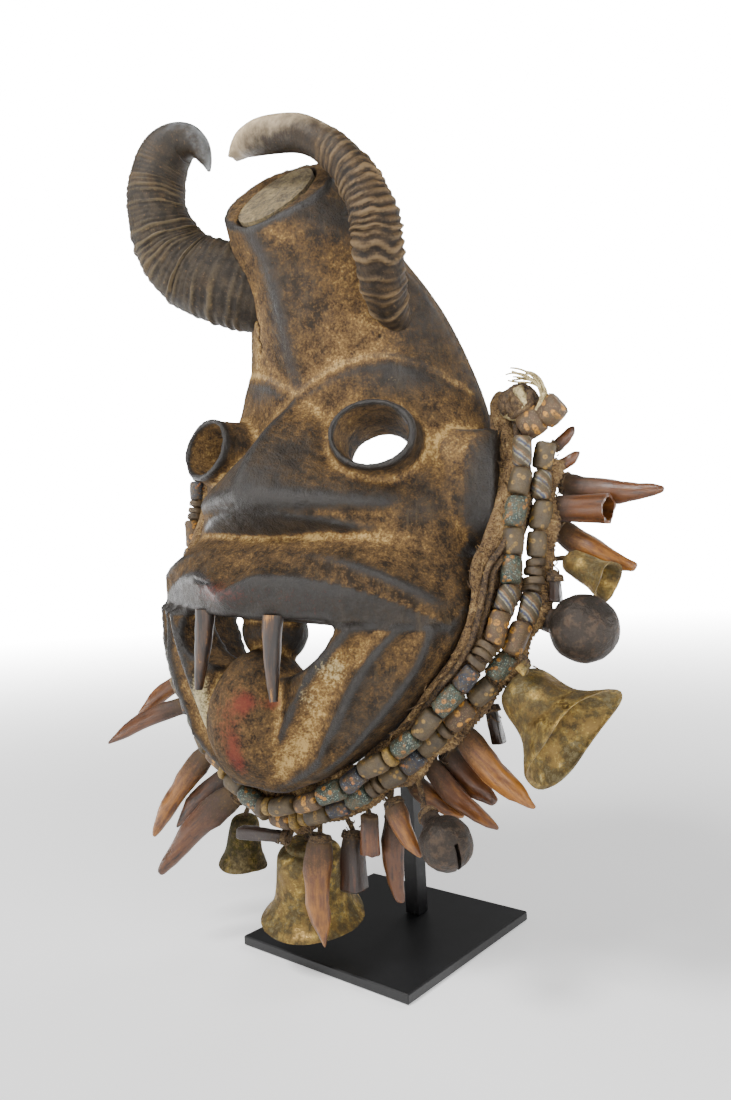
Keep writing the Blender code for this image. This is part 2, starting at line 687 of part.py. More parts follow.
def tooth_rings(root, direction, length, width):
    """Long tooth: broad near the root, bent a little, narrowing to a blunt point."""
    up, across = frame_along(direction)
    rings = []
    for t, share in ((0.0, 0.74), (0.12, 1.0), (0.5, 0.98), (0.82, 0.68), (1.0, 0.2)):
        centre = root + direction * (length * t) + across * (TOOTH_BEND * length * sin(pi * t))
        rings.append(ring_at(centre, across, up, width / 2 * share, width / 2.5 * share, TOOTH_SIDES))
    return rings


def bell_rings(root, direction, length, width, sides=BELL_SIDES):
    """Open bell: a rounded crown, a waist and a flared mouth, with its inside wall."""
    up, across = frame_along(direction)
    outside = ((0.0, 0.30), (0.08, 0.56), (0.45, 0.66), (0.78, 0.80), (1.0, 1.0))
    rings = []
    for t, share in outside:
        rings.append(ring_at(root + direction * (length * t), across, up,
                             width / 2 * share, width / 2 * share, sides))
    for t, share in reversed(outside[1:]):
        depth = length * t if t == 1.0 else max(length * t, BELL_WALL * 2)
        size = width / 2 * share - BELL_WALL
        rings.append(ring_at(root + direction * depth, across, up, size, size, sides))
    return rings


def ball_rings(root, direction, length, width):
    """Iron ball with a short neck at its root."""
    up, across = frame_along(direction)
    radius = width / 2
    neck = radius * 0.32
    rings = [ring_at(root, across, up, neck, neck, 10)]
    first = pi - 0.42
    for i in range(6):
        a = mix(first, 0.35, i / 5)
        centre = root + direction * (length + radius * cos(a))
        rings.append(ring_at(centre, across, up, radius * sin(a), radius * sin(a), 10))
    return rings


def tube_rings(root, direction, length, width):
    """Piece of hollow horn, open at its far end."""
    up, across = frame_along(direction)
    radius = width / 2
    steps = ((0.0, 0.9), (1.0, 1.0))
    rings = [ring_at(root + direction * (length * t), across, up, radius * k, radius * k * 0.85, 9)
             for t, k in steps]
    inner = radius - TUBE_WALL
    for t in (1.0, 0.35):
        rings.append(ring_at(root + direction * (length * t), across, up, inner, inner * 0.85, 9))
    return rings


def block_rings(root, direction, length, width):
    """Cut piece of horn or wood, four-sided and wider at its foot."""
    up, across = frame_along(direction)
    rings = []
    for t, share in ((0.0, 0.6), (0.1, 0.8), (0.92, 1.0), (1.0, 0.84)):
        rings.append(ring_at(root + direction * (length * t), across, up,
                             width * 0.62 * share, width * 0.5 * share, 4, 0.5))
    return rings


def pendant(row, route):
    name, place, out, back, lean, forward, length, width = row
    point, along, outward = route.at(place)
    flat_along = Vector((along.x, 0.0, along.z)).normalized()
    root = point + outward * out + Vector((0, back, 0))
    run = sqrt(max(length**2 - forward**2, 1.0))
    aim = outward * cos(radians(lean)) - flat_along * sin(radians(lean))
    direction = (aim * run + Vector((0, forward, 0))).normalized()
    makers = {"tooth": tooth_rings, "bell": bell_rings, "ball": ball_rings, "horn": tube_rings,
              "tube": tube_rings, "block": block_rings, "peg": block_rings, "bead": block_rings}
    rings = makers[name.split("_")[0]](root, direction, length, width)
    return make_object(name, loft(rings))


def box(name, low, high, bevel=0.0):
    bm = bmesh.new()
    bmesh.ops.create_cube(bm, size=1.0)
    for v in bm.verts:
        v.co = Vector([mix(a, b, c + 0.5) for a, b, c in zip(low, high, v.co)]) * MM
    if bevel:
        bmesh.ops.bevel(bm, geom=bm.edges[:], offset=bevel * MM, segments=1, affect="EDGES")
    return make_object(name, bm)


def base_plate():
    half = BASE_SIDE / 2
    return box("base_plate", (-half, -half, 0.0), (half, half, BASE_THICK), BASE_EDGE)


def stand_rod():
    """Upright rod behind the chin, with one arm that reaches the inside of the face."""
    front = blend(BLOCK_STATIONS, ARM_LEVEL - ARM_SIDE / 2)[1] + WALL + ARM_GAP
    top = MOUNT_HEIGHT + ARM_LEVEL
    half = ROD_SIDE / 2
    foot = BASE_THICK + FIT_GAP
    profile = [(half, foot), (half, top), (front - ROD_Y, top), (front - ROD_Y, top - ARM_SIDE),
               (-half, top - ARM_SIDE), (-half, foot)]
    rings = [[(ROD_X + x, ROD_Y + y, z) for y, z in profile] for x in (-half, half)]
    return make_object("stand_rod", loft(rings))


def add_boolean(target, operation, label, operands):
    group = bpy.data.collections.new(label)
    for thing in operands:
        group.objects.link(thing)
    step = target.modifiers.new(label, "BOOLEAN")
    step.operation = operation
    step.solver = "EXACT"
    step.operand_type = "COLLECTION"
    step.collection = group


def mask_body():
    body = mask_block()
    add_boolean(body, "DIFFERENCE", "opening", [hollow_cutter(), mouth_cutter()])
    forms = [tongue(), tongue_root()] + [form(side) for form in (eye_tube, ear) for side in (1, -1)]
    add_boolean(body, "UNION", "forms", forms)
    remesh = body.modifiers.new("Even", "REMESH")
    remesh.mode = "VOXEL"
    remesh.voxel_size = VOXEL * MM
    thin = body.modifiers.new("Thin", "DECIMATE")
    thin.ratio = THIN_SHARE
    sockets = [horn_socket("horn_left", HORN_LEFT), horn_socket("horn_right", HORN_RIGHT),
               plug_recess(), tusk_socket(1), tusk_socket(-1)]
    add_boolean(body, "DIFFERENCE", "fits", [eye_cutter(1), eye_cutter(-1)] + sockets)
    return body


def material(name, color, roughness, metallic=0.0):
    finish = bpy.data.materials.new(name)
    finish.use_nodes = True
    shader = finish.node_tree.nodes["Principled BSDF"]
    shader.inputs["Base Color"].default_value = (*color, 1.0)
    shader.inputs["Roughness"].default_value = roughness
    shader.inputs["Metallic"].default_value = metallic
    return finish


FINISHES = {
    "steel": ((0.012, 0.012, 0.013), 0.4, 0.0),
    "wood": ((0.075, 0.05, 0.032), 0.6, 0.0),
    "plug": ((0.13, 0.1, 0.06), 0.8, 0.0),
    "horn": ((0.1, 0.06, 0.035), 0.5, 0.0),
    "tusk": ((0.12, 0.07, 0.03), 0.35, 0.0),
    "fibre": ((0.045, 0.03, 0.02), 0.95, 0.0),
    "cord": ((0.4, 0.33, 0.2), 0.9, 0.0),
    "beads": ((0.11, 0.09, 0.06), 0.6, 0.0),
    "tooth": ((0.22, 0.09, 0.03), 0.4, 0.0),
    "brass": ((0.38, 0.27, 0.09), 0.45, 0.9),
    "iron": ((0.05, 0.035, 0.028), 0.7, 0.5),
}
FINISH_OF = (("base", "steel"), ("stand", "steel"), ("mask", "wood"), ("crest", "plug"),
             ("horn_t", "tooth"), ("horn", "horn"), ("tusk", "tusk"), ("beard", "fibre"), ("cord", "cord"),
             ("bead_s", "beads"), ("bead_0", "brass"), ("tooth", "tooth"), ("bell", "brass"),
             ("ball", "iron"), ("block", "tooth"), ("peg", "tooth"), ("tube", "tooth"))


def finish_all():
    made = {name: material(name, *values) for name, values in FINISHES.items()}
    for thing in bpy.context.scene.objects:
        if thing.type != "MESH" or thing.hide_render:
            continue
        key = next(finish for start, finish in FINISH_OF if thing.name.startswith(start))
        thing.data.materials.append(made[key])


def clear_scene():
    for thing in list(bpy.data.objects):
        bpy.data.objects.remove(thing, do_unlink=True)


def build():
    clear_scene()
    mount = bpy.data.objects.new("mask_mount", None)
    bpy.context.scene.collection.objects.link(mount)
    mount.location = (0, 0, MOUNT_HEIGHT * MM)
    mount.rotation_euler = (0, radians(MOUNT_ROLL), radians(MOUNT_TURN))
    mask_body()
    crest_plug()
    horn("horn_left", HORN_LEFT)
    horn("horn_right", HORN_RIGHT)
    for side in (1, -1):
        tusk(side)
    beard_collar()
    cord_tuft()
    bead_strand("bead_strand_inner", INNER_ROUTE)
    bead_strand("bead_strand_outer", OUTER_ROUTE)
    route = Route(*OUTER_ROUTE)
    for row in PENDANTS:
        pendant(row, route)
    for thing in bpy.context.scene.collection.objects:
        if thing != mount:
            thing.parent = mount
    base_plate()
    stand_rod()
    finish_all()


build()
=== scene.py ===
import random
from math import atan2, ceil, cos, exp, pi, radians, sin, sqrt

import bpy
import numpy as np
from mathutils import Matrix, Vector, noise


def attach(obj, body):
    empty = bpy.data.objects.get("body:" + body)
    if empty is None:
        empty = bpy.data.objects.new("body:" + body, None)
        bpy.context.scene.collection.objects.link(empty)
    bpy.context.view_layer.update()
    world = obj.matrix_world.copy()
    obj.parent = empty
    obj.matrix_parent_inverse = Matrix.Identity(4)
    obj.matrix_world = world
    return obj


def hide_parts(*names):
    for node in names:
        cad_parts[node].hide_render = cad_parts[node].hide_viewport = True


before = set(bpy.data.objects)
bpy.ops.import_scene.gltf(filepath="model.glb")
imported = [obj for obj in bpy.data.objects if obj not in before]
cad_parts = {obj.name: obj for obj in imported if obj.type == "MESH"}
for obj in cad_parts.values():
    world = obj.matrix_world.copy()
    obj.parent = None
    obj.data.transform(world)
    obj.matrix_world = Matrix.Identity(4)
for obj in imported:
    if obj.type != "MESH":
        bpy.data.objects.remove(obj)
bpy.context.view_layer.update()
random.seed(7)
mm = 0.001
maskFrame = (Matrix.Translation((0, 0, 0.167)) @ Matrix.Rotation(radians(3.0), 4, "Z")
             @ Matrix.Rotation(radians(4.2), 4, "Y"))
print("frame loaded")


def mix(a, b, t):
    return a + (b - a) * t


def ramp(low, high, value):
    t = min(max((value - low) / (high - low), 0.0), 1.0)
    return t * t * (3 - 2 * t)


def blendStations(stations, z):
    # smooth values between the stations on either side of z
    if z <= stations[0][0] or z >= stations[-1][0]:
        return stations[0 if z <= stations[0][0] else -1][1:]
    count = len(stations)
    i = next(k for k in range(count - 1) if z <= stations[k + 1][0])
    a, b = stations[i], stations[i + 1]
    before, after = stations[max(i - 1, 0)], stations[min(i + 2, count - 1)]
    span = b[0] - a[0]
    t = (z - a[0]) / span
    h = (2 * t**3 - 3 * t**2 + 1, t**3 - 2 * t**2 + t, 3 * t**2 - 2 * t**3, t**3 - t**2)
    values = []
    for k in range(1, len(a)):
        slopeA = (b[k] - before[k]) / (b[0] - before[0]) * span
        slopeB = (after[k] - a[k]) / (after[0] - a[0]) * span
        values.append(h[0] * a[k] + h[1] * slopeA + h[2] * b[k] + h[3] * slopeB)
    return values


def curvePoint(stations, t):
    last = len(stations) - 1
    return blendStations(tuple((i / last,) + tuple(s) for i, s in enumerate(stations)), t)


def curveDirection(stations, t):
    a, b = curvePoint(stations, max(t - 0.01, 0)), curvePoint(stations, min(t + 0.01, 1))
    return (Vector(b[:3]) - Vector(a[:3])).normalized()


def squareTo(direction, hint=Vector((0, -1, 0))):
    # two directions square to a direction, the first as near the hint as it can be
    direction = direction.normalized()
    first = hint - direction * hint.dot(direction)
    if first.length < 1e-4:
        first = Vector((1, 0, 0)) - direction * direction.x
    first.normalize()
    return first, direction.cross(first)


def grain(x, y, z, size, seed=0.0):
    # smooth noise from -1 to 1 whose lumps are about size wide
    return noise.noise(Vector((x / size + seed, y / size - seed, z / size + 2 * seed)))


def scatter(reach):
    # a random shift of up to reach along each axis
    return Vector([random.uniform(-reach, reach) for _ in range(3)])


def aimed(direction):
    return direction.to_track_quat("Z", "Y").to_matrix().to_4x4()


def deselect():
    if bpy.context.object and bpy.context.object.mode != "OBJECT":
        bpy.ops.object.mode_set(mode="OBJECT")
    bpy.ops.object.select_all(action="DESELECT")


def activate(piece):
    deselect()
    piece.select_set(True)
    bpy.context.view_layer.objects.active = piece


def wrapSheet(name, columns, rows, place):
    # a grid wrapped round into a tube, its seam merged and its ends filled
    deselect()
    bpy.ops.mesh.primitive_grid_add(x_subdivisions=columns, y_subdivisions=rows, size=2)
    piece = bpy.context.object
    piece.name = name
    for v in piece.data.vertices:
        u = (v.co.x + 1) / 2
        v.co = Vector(place(0.0 if u > 1 - 1e-5 else u, (v.co.y + 1) / 2)) * mm
    bpy.ops.object.mode_set(mode="EDIT")
    bpy.ops.mesh.select_all(action="SELECT")
    bpy.ops.mesh.remove_doubles(threshold=1e-6)
    bpy.ops.mesh.fill_holes(sides=0)
    bpy.ops.mesh.select_all(action="SELECT")
    bpy.ops.mesh.normals_make_consistent(inside=False)
    bpy.ops.object.mode_set(mode="OBJECT")
    return piece


def tubeAlong(name, stations, columns, rows, shape=None):
    # a tube along a smooth curve of (x, y, z, radius); shape(angle, t) scales its radius
    frames = {}

    def place(u, t):
        if t not in frames:
            frames[t] = curvePoint(stations, t), squareTo(curveDirection(stations, t))
        (x, y, z, radius), (up, across) = frames[t]
        a = 2 * pi * u
        size = radius * (shape(a, t) if shape else 1.0)
        return Vector((x, y, z)) + (across * cos(a) + up * sin(a)) * size
    return wrapSheet(name, columns, rows, place)


def drawOut(name, steps, sides):
    # a circle extruded upwards step by step: height, half width, half depth, shift sideways
    deselect()
    z, wide, deep, shift = steps[0]
    bpy.ops.mesh.primitive_circle_add(vertices=sides, radius=1, fill_type="NGON", location=(0, 0, 0))
    piece = bpy.context.object
    piece.name = name
    bpy.ops.object.mode_set(mode="EDIT")
    bpy.ops.mesh.select_all(action="SELECT")
    bpy.ops.transform.resize(value=(wide * mm, deep * mm, 1), center_override=(0, 0, 0))
    bpy.ops.transform.translate(value=(shift * mm, 0, z * mm))
    for nextZ, nextWide, nextDeep, nextShift in steps[1:]:
        move = ((nextShift - shift) * mm, 0, (nextZ - z) * mm)
        bpy.ops.mesh.extrude_region_move(TRANSFORM_OT_translate={"value": move})
        bpy.ops.transform.resize(value=(nextWide / wide, nextDeep / deep, 1),
                                 center_override=(nextShift * mm, 0, nextZ * mm))
        z, wide, deep, shift = nextZ, nextWide, nextDeep, nextShift
    bpy.ops.mesh.select_all(action="SELECT")
    bpy.ops.mesh.normals_make_consistent(inside=False)
    bpy.ops.object.mode_set(mode="OBJECT")
    return piece


def applyModifier(piece, kind, **settings):
    activate(piece)
    step = piece.modifiers.new(kind, kind)
    for key, value in settings.items():
        setattr(step, key, value)
    bpy.ops.object.modifier_apply(modifier=step.name)


def combine(piece, form, operation):
    # the form joined to the piece or cut out of it, and then gone
    applyModifier(piece, "BOOLEAN", object=form, operation=operation, solver="EXACT")
    bpy.data.objects.remove(form)


def copyPiece(piece, turn):
    # a copy with its own mesh, placed by a matrix
    twin = bpy.data.objects.new(piece.name, piece.data.copy())
    bpy.context.scene.collection.objects.link(twin)
    twin.data.transform(turn)
    return twin


def joinPieces(name, parts):
    deselect()
    for part in parts:
        part.select_set(True)
    bpy.context.view_layer.objects.active = parts[0]
    if len(parts) > 1:
        bpy.ops.object.join()
    parts[0].name = name
    return parts[0]


def dress(piece, finish):
    piece.data.materials.clear()
    piece.data.materials.append(finish)
    return piece


def finishPiece(piece, nodes=(), smooth=35):
    # into the world's frame, shaded smooth, riding on the stand, in place of its CAD nodes
    piece.data.transform(maskFrame)
    activate(piece)
    bpy.ops.object.shade_smooth_by_angle(angle=radians(smooth))
    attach(piece, "root")
    if nodes:
        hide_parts(*nodes)
    return piece


def readMesh(piece):
    mesh = piece.data
    points = np.empty(len(mesh.vertices) * 3)
    normals = np.empty(len(mesh.vertices) * 3)
    edges = np.empty(len(mesh.edges) * 2, int)
    mesh.vertices.foreach_get("co", points)
    mesh.vertices.foreach_get("normal", normals)
    mesh.edges.foreach_get("vertices", edges)
    return points.reshape(-1, 3), normals.reshape(-1, 3), edges.reshape(-1, 2)


def setValues(piece, name, values):
    layer = piece.data.attributes.new(name, "FLOAT", "POINT")
    layer.data.foreach_set("value", np.asarray(values, np.float32))


def setPoints(piece, points):
    piece.data.vertices.foreach_set("co", points.reshape(-1))
    piece.data.update()


def setPlaces(piece, name, places):
    layer = piece.data.attributes.new(name, "FLOAT_VECTOR", "POINT")
    layer.data.foreach_set("vector", places.astype(np.float32).reshape(-1))


def roughen(piece, *waves):
    # moves the surface in and out by several waves of (height, size, seed) in millimetres
    points, normals, _ = readMesh(piece)
    move = np.array([sum(h * grain(*(p / mm), size, seed) for h, size, seed in waves) for p in points])
    setPoints(piece, points + normals * (move * mm)[:, None])


def linearColour(hexText):
    channels = [int(hexText[i:i + 2], 16) / 255 for i in (1, 3, 5)]
    return tuple(c / 12.92 if c < 0.04045 else ((c + 0.055) / 1.055) ** 2.4 for c in channels) + (1.0,)


def addNode(tree, kind, inputs=None, output=0, **settings):
    # one node with its options; each input takes a value, a hex colour or another node's output
    node = tree.nodes.new("ShaderNode" + kind)
    for key, value in settings.items():
        setattr(node, key, value)
    for key, value in (inputs or {}).items():
        if isinstance(value, bpy.types.NodeSocket):
            tree.links.new(value, node.inputs[key])
        else:
            node.inputs[key].default_value = linearColour(value) if isinstance(value, str) else value
    return node.outputs[output]


def newFinish(name, roughness, metallic=0.0):
    made = bpy.data.materials.new(name)
    made.use_nodes = True
    tree = made.node_tree
    shader = tree.nodes["Principled BSDF"]
    shader.inputs["Roughness"].default_value = roughness
    shader.inputs["Metallic"].default_value = metallic
    return made, tree, shader, addNode(tree, "TexCoord", output="Object")


def makeGrains(tree, coords, *sizes, detail=4.0):
    # one noise for each size in millimetres, its lumps about that wide
    return [addNode(tree, "TexNoise", {"Vector": coords, "Scale": 1 / (size * mm), "Detail": detail,
                                       "Roughness": 0.62}) for size in sizes]


def layColours(tree, colour, *layers):
    # stains over a colour: each where its value climbs from low to high, up to its strength
    for value, low, high, strength, tint in layers:
        share = addNode(tree, "MapRange", {"Value": value, "From Min": low, "From Max": high,
                                           "To Max": strength}, interpolation_type="SMOOTHSTEP")
        colour = addNode(tree, "Mix", {0: share, 6: colour, 7: tint}, 2, data_type="RGBA")
    return colour


def weigh(tree, *terms):
    # the sum of several outputs, each times its weight
    total = None
    for value, weight in terms:
        part = addNode(tree, "Math", {0: value, 1: weight}, operation="MULTIPLY")
        total = part if total is None else addNode(tree, "Math", {0: total, 1: part})
    return total


def finishSurface(tree, shader, colour, height, depth, strength, channels=None):
    # colour, relief of a depth in millimetres, and other channels led from a value's span to their own
    tree.links.new(colour, shader.inputs["Base Color"])
    bump = addNode(tree, "Bump", {"Height": height, "Strength": strength, "Distance": depth * mm})
    tree.links.new(bump, shader.inputs["Normal"])
    for channel, (value, low, high, start, end) in (channels or {}).items():
        level = addNode(tree, "MapRange", {"Value": value, "From Min": low, "From Max": high,
                                           "To Min": start, "To Max": end})
        tree.links.new(level, shader.inputs[channel])


maskShape = {
    "stations": (   # height: half width, front, side and back depth, lean, squareness
        (-77.0, 16.0, -84.0, -70.0, -60.0, 0.0, 2.2),
        (-66.0, 35.5, -86.0, -64.0, -52.0, 0.0, 2.4),
        (-40.0, 62.0, -86.0, -54.0, -36.0, 0.0, 2.8),
        (-16.0, 79.0, -84.0, -46.0, -22.0, 0.0, 3.0),
        (3.0, 85.5, -80.0, -46.0, -18.0, 0.0, 3.0),
        (28.0, 78.0, -78.0, -28.0, -8.0, 0.0, 2.4),
        (68.0, 76.0, -60.0, -16.0, 2.0, 0.0, 2.3),
        (97.0, 68.0, -58.0, -14.0, 6.0, 0.0, 1.8),
        (130.0, 55.0, -71.0, -22.0, 4.0, -1.0, 1.5),
        (150.0, 47.0, -79.0, -36.0, -6.0, -3.0, 1.5),
        (170.0, 37.0, -89.0, -52.0, -22.0, -5.0, 1.6),
        (190.0, 28.5, -97.0, -66.0, -42.0, -6.0, 1.8),
        (214.0, 24.0, -104.0, -76.0, -56.0, -7.0, 2.0),
        (230.0, 22.0, -108.0, -80.0, -60.0, -8.0, 2.0),
    ),
    "jaw": (        # height: half widths to edge, outer, middle and tongue ridge, then depths
        (-5.0, 85.0, 80.0, 68.5, 52.5, -60.0, -71.0, -78.0, -88.0),
        (-16.0, 78.0, 77.0, 60.0, 44.5, -60.0, -72.5, -83.0, -92.0),
        (-26.0, 71.5, 72.0, 55.0, 36.5, -63.0, -75.0, -87.0, -94.0),
        (-40.0, 61.0, 61.5, 48.0, 28.0, -68.0, -78.0, -87.5, -94.0),
        (-52.0, 52.0, 52.5, 40.5, 21.5, -74.0, -79.0, -87.0, -93.0),
        (-63.0, 39.5, 38.5, 34.0, 15.5, -78.0, -82.0, -86.0, -90.0),
        (-77.0, 15.0, 12.0, 10.0, 7.0, -82.0, -83.5, -84.5, -85.0),
    ),
    "rowStep": 1.3, "frontColumns": 150, "backColumns": 44, "voxel": 1.25,
    "topCentre": (-4.0, -66.0, 188.5), "topSlope": 49.0, "topLean": 6.0,
    "plugSize": (34.0, 46.0), "plugShift": -6.0, "plugDepth": 4.0,
    "notchZ": 96.5, "arcPeak": (41.0, 111.0), "arcEndX": 72.0, "arcDrop": 20.0, "arcRidge": 1.6,
    "moundProud": 2.5, "noseTopY": -58.0, "noseTipY": -98.0, "noseBaseZ": 42.0, "noseDrop": 10.5,
    "noseHalf": 58.0, "noseUndercut": 1.25, "lipHalf": 84.0, "lipRoot": (-88.0, 25.0),
    "lipEdge": (-107.5, 15.5), "lipLow": (-100.0, -4.0), "lipDip": 8.0, "lipCornerY": -64.0,
    "flute": 4.5, "wall": 10.0, "hollow": (-58.0, 104.0), "hollowRounding": 26, "mouthHalf": 44.0,
    "mouthDepth": 24.0,
    "eye": (50.0, -70.6, 74.0), "eyeSize": (36.5, 30.5), "eyeRim": 2.4, "eyeHole": (26.5, 22.0),
    "eyeTurn": {1: 27.0, -1: 12.0}, "eyeLift": 11.0, "eyeFlare": 5.0, "eyeBore": 21.0,
    "ear": {"low": 27.0, "high": 78.0, "reach": 87.5, "root": 66.0, "y": -46.0, "sweep": 12.0,
            "thick": 11.0},
    "tongue": (((0.0, -79.0, -46.5), (24.0, 24.0, 29.5), 0.14), ((-4.0, -68.0, -11.0), (17.0, 12.0, 14.0))),
}


def softMin(a, b, radius):
    h = max(radius - abs(a - b), 0.0) / radius
    return min(a, b) - h * h * radius / 4


def arcHeight(x):
    m = maskShape
    peakX, peakZ = m["arcPeak"]
    if x < peakX:
        return peakZ - (peakZ - m["notchZ"]) * ((peakX - x) / peakX) ** 1.7
    return peakZ - m["arcDrop"] * ((x - peakX) / (m["arcEndX"] - peakX)) ** 2


def noseDepth(x, z):
    m = maskShape
    edgeZ = m["noseBaseZ"] - m["noseDrop"] * (x / m["noseHalf"]) ** 1.8
    above = max(z, edgeZ)
    t = (m["notchZ"] - above) / (m["notchZ"] - m["noseBaseZ"])
    ridge = m["noseTopY"] + (m["noseTipY"] - m["noseTopY"]) * sin(min(max(t, 0.0), 1.0) * 0.54 * pi)
    ridge += 200 * max(min(t, 1.0) - 0.85, 0.0) ** 2
    spread = mix(0.78, 0.1, ramp(0.35, 1.0, t))
    return ridge + spread * x + 0.0076 * x * x + 0.05 * max(x - 50, 0) ** 2 + m["noseUndercut"] * (above - z)


def lipEdgeZ(share, x):
    m = maskShape
    return mix(m["lipLow"][1], m["lipEdge"][1], 1 - share**2.6) - m["lipDip"] * exp(-((x / 11.0) ** 2))


def lipDepth(x, z):
    m = maskShape
    share = min(x / m["lipHalf"], 1.0)
    rootZ = mix(4.0, m["lipRoot"][1], 1 - share**3.2)
    rootY = mix(m["lipCornerY"] + 10, m["lipRoot"][0], sqrt(max(1 - share**3, 0.0)))
    edgeZ = lipEdgeZ(share, x)
    edgeY = mix(m["lipEdge"][0], m["lipCornerY"], share**1.3)
    lowY = mix(m["lipLow"][0], m["lipCornerY"] + 1, share**1.5)
    if z > rootZ:
        return rootY + (z - rootZ) * 1.6
    if z > edgeZ:
        return mix(edgeY, rootY, (z - edgeZ) / (rootZ - edgeZ))
    return mix(edgeY, lowY, (edgeZ - z) / max(edgeZ - m["lipLow"][1], 0.5))


def jawDepth(x, z):
    m = maskShape
    stations = tuple(m["jaw"][::-1])
    edge, outer, middle, inner, edgeY, outerY, middleY, innerY = blendStations(stations, z)
    if x > outer:
        return mix(outerY, edgeY, min((x - outer) / max(edge - outer, 1.0), 1.5))
    fade = ramp(-74.0, -50.0, z)
    if x > middle:
        t = (x - middle) / max(outer - middle, 1.0)
        return mix(middleY, outerY, t) + m["flute"] * 0.7 * fade * sin(pi * t)
    if x > inner:
        t = (x - inner) / max(middle - inner, 1.0)
        return mix(innerY, middleY, t) + m["flute"] * fade * sin(pi * t)
    return innerY + 2 * m["flute"] * fade * sin(0.5 * pi * (1 - x / max(inner, 1.0)))


def faceDepth(x, z):
    m = maskShape
    half, front, side, _, lean, square = blendStations(m["stations"], z)
    across = abs(x - lean)
    share = max(1 - min(across / half, 1.0) ** square, 0.0)
    depth = side + (front - side) * share ** (1 / square)
    arc = arcHeight(across)
    inside = ramp(0.0, 5.0, arc - z) * ramp(half, half - 16, across)
    depth -= m["moundProud"] * inside * ramp(30.0, 44.0, z)
    depth -= m["arcRidge"] * exp(-(((z - arc) / 1.9) ** 2)) * ramp(half, half - 12, across)
    if 20 < z < m["notchZ"] + 4:
        depth = softMin(depth, noseDepth(across, z), 3.0)
    if m["lipLow"][1] - 2 < z < 34 and across < m["lipHalf"] + 4:
        depth = softMin(depth, lipDepth(across, z), 1.5)
    if z < m["lipLow"][1] + 1:
        depth = jawDepth(across, z)
    return min(depth, side)


def maskBlock():
    # the carved block: a sheet wrapped round it row by row, then sawn off at the crest's top
    m = maskShape
    low, high = m["stations"][0][0], m["stations"][-1][0]
    front, backs = m["frontColumns"], m["backColumns"]
    columns = front + backs

    def place(u, v):
        z = mix(low, high, v)
        half, _, side, back, lean, _ = blendStations(m["stations"], z)
        c = u * columns
        if c <= front:
            x = lean + half * sin(pi * (c / front - 0.5))
            return x, faceDepth(x, z), z
        a = pi * (c - front) / backs
        return lean + half * cos(a), side + (back - side) * sin(a) ** 0.6, z

    block = wrapSheet("mask_body", columns, int(ceil((high - low) / m["rowStep"])), place)
    normal = topTurn() @ Vector((0, 0, 1))
    activate(block)
    bpy.ops.object.mode_set(mode="EDIT")
    bpy.ops.mesh.select_all(action="SELECT")
    bpy.ops.mesh.bisect(plane_co=Vector(m["topCentre"]) * mm, plane_no=normal, use_fill=True,
                        clear_outer=True)
    bpy.ops.object.mode_set(mode="OBJECT")
    return block


def topTurn():
    m = maskShape
    return Matrix.Rotation(radians(m["topLean"]), 3, "Y") @ Matrix.Rotation(radians(m["topSlope"]), 3, "X")


def hollowCutter():
    m = maskShape
    low, high = m["hollow"]

    def place(u, v):
        z = mix(low, high, v)
        half, front, side, *_ = blendStations(m["stations"], z)
        rows = m["hollowRounding"]
        r = v * rows
        close = sin(pi * min(r + 1.5, rows - r + 1.5, rows / 2) / rows) ** 0.6
        innerHalf = (half - m["wall"]) * mix(0.55, 1.0, close)
        innerFront = mix(side, front + m["wall"], close)
        if u <= 0.8:
            a = pi * u / 0.8
            return -innerHalf * cos(a), side + (innerFront - side) * sin(a) ** 0.8, z
        t = min((u - 0.8) / 0.1, 1.0), max((u - 0.9) / 0.1, 0.0)
        x = innerHalf * (1 - 2 * ramp(0, 1, (u - 0.8) / 0.2))
        return x, mix(side, 60.0, min(t[0], 1 - t[1]) ** 0.3), z
    return wrapSheet("hollowCutter", 70, 40, place)


def mouthCutter():
    m = maskShape

    def place(u, v):
        a = pi * min(u / 0.7, 1.0)
        x, z = cos(a), -0.5 - m["mouthDepth"] * sin(a) ** 0.8
        if u > 0.7:
            x, z = mix(-1.0, 1.0, (u - 0.7) / 0.3), -0.5
        return x * m["mouthHalf"], mix(-130.0, -30.0, v), z + m["lipLow"][1]
    return wrapSheet("mouthCutter", 60, 2, place)


def ovalForm(name, centre, sizes, swell=0.0):
    deselect()
    bpy.ops.mesh.primitive_uv_sphere_add(segments=48, ring_count=32, radius=1)
    form = bpy.context.object
    form.name = name
    for v in form.data.vertices:
        wide = 1 - swell * v.co.z
        v.co = Vector((centre[0] + v.co.x * sizes[0] * wide, centre[1] + v.co.y * sizes[1],
                       centre[2] + v.co.z * sizes[2])) * mm
    return form


def eyeAxes(side):
    turn, lift = radians(maskShape["eyeTurn"][side]), radians(maskShape["eyeLift"])
    forward = Vector((side * sin(turn) * cos(lift), -cos(turn) * cos(lift), sin(lift)))
    across = Vector((cos(turn), side * sin(turn), 0.0))
    return forward, across, across.cross(forward) * -1


def ovalTube(name, side, steps):
    # an oval tube along the eye's axis: how far behind the rim, width and height at each step
    m = maskShape
    forward, across, up = eyeAxes(side)
    rim = Vector((side * m["eye"][0], m["eye"][1], m["eye"][2]))

    def place(u, v):
        i = min(int(v * (len(steps) - 1) + 1e-6), len(steps) - 2)
        t = v * (len(steps) - 1) - i
        back, wide, tall = (mix(p, q, t) for p, q in zip(steps[i], steps[i + 1]))
        a = 2 * pi * u
        return rim - forward * back + across * (wide / 2 * cos(a)) + up * (tall / 2 * sin(a))
    return wrapSheet(name, 64, (len(steps) - 1) * 4, place)


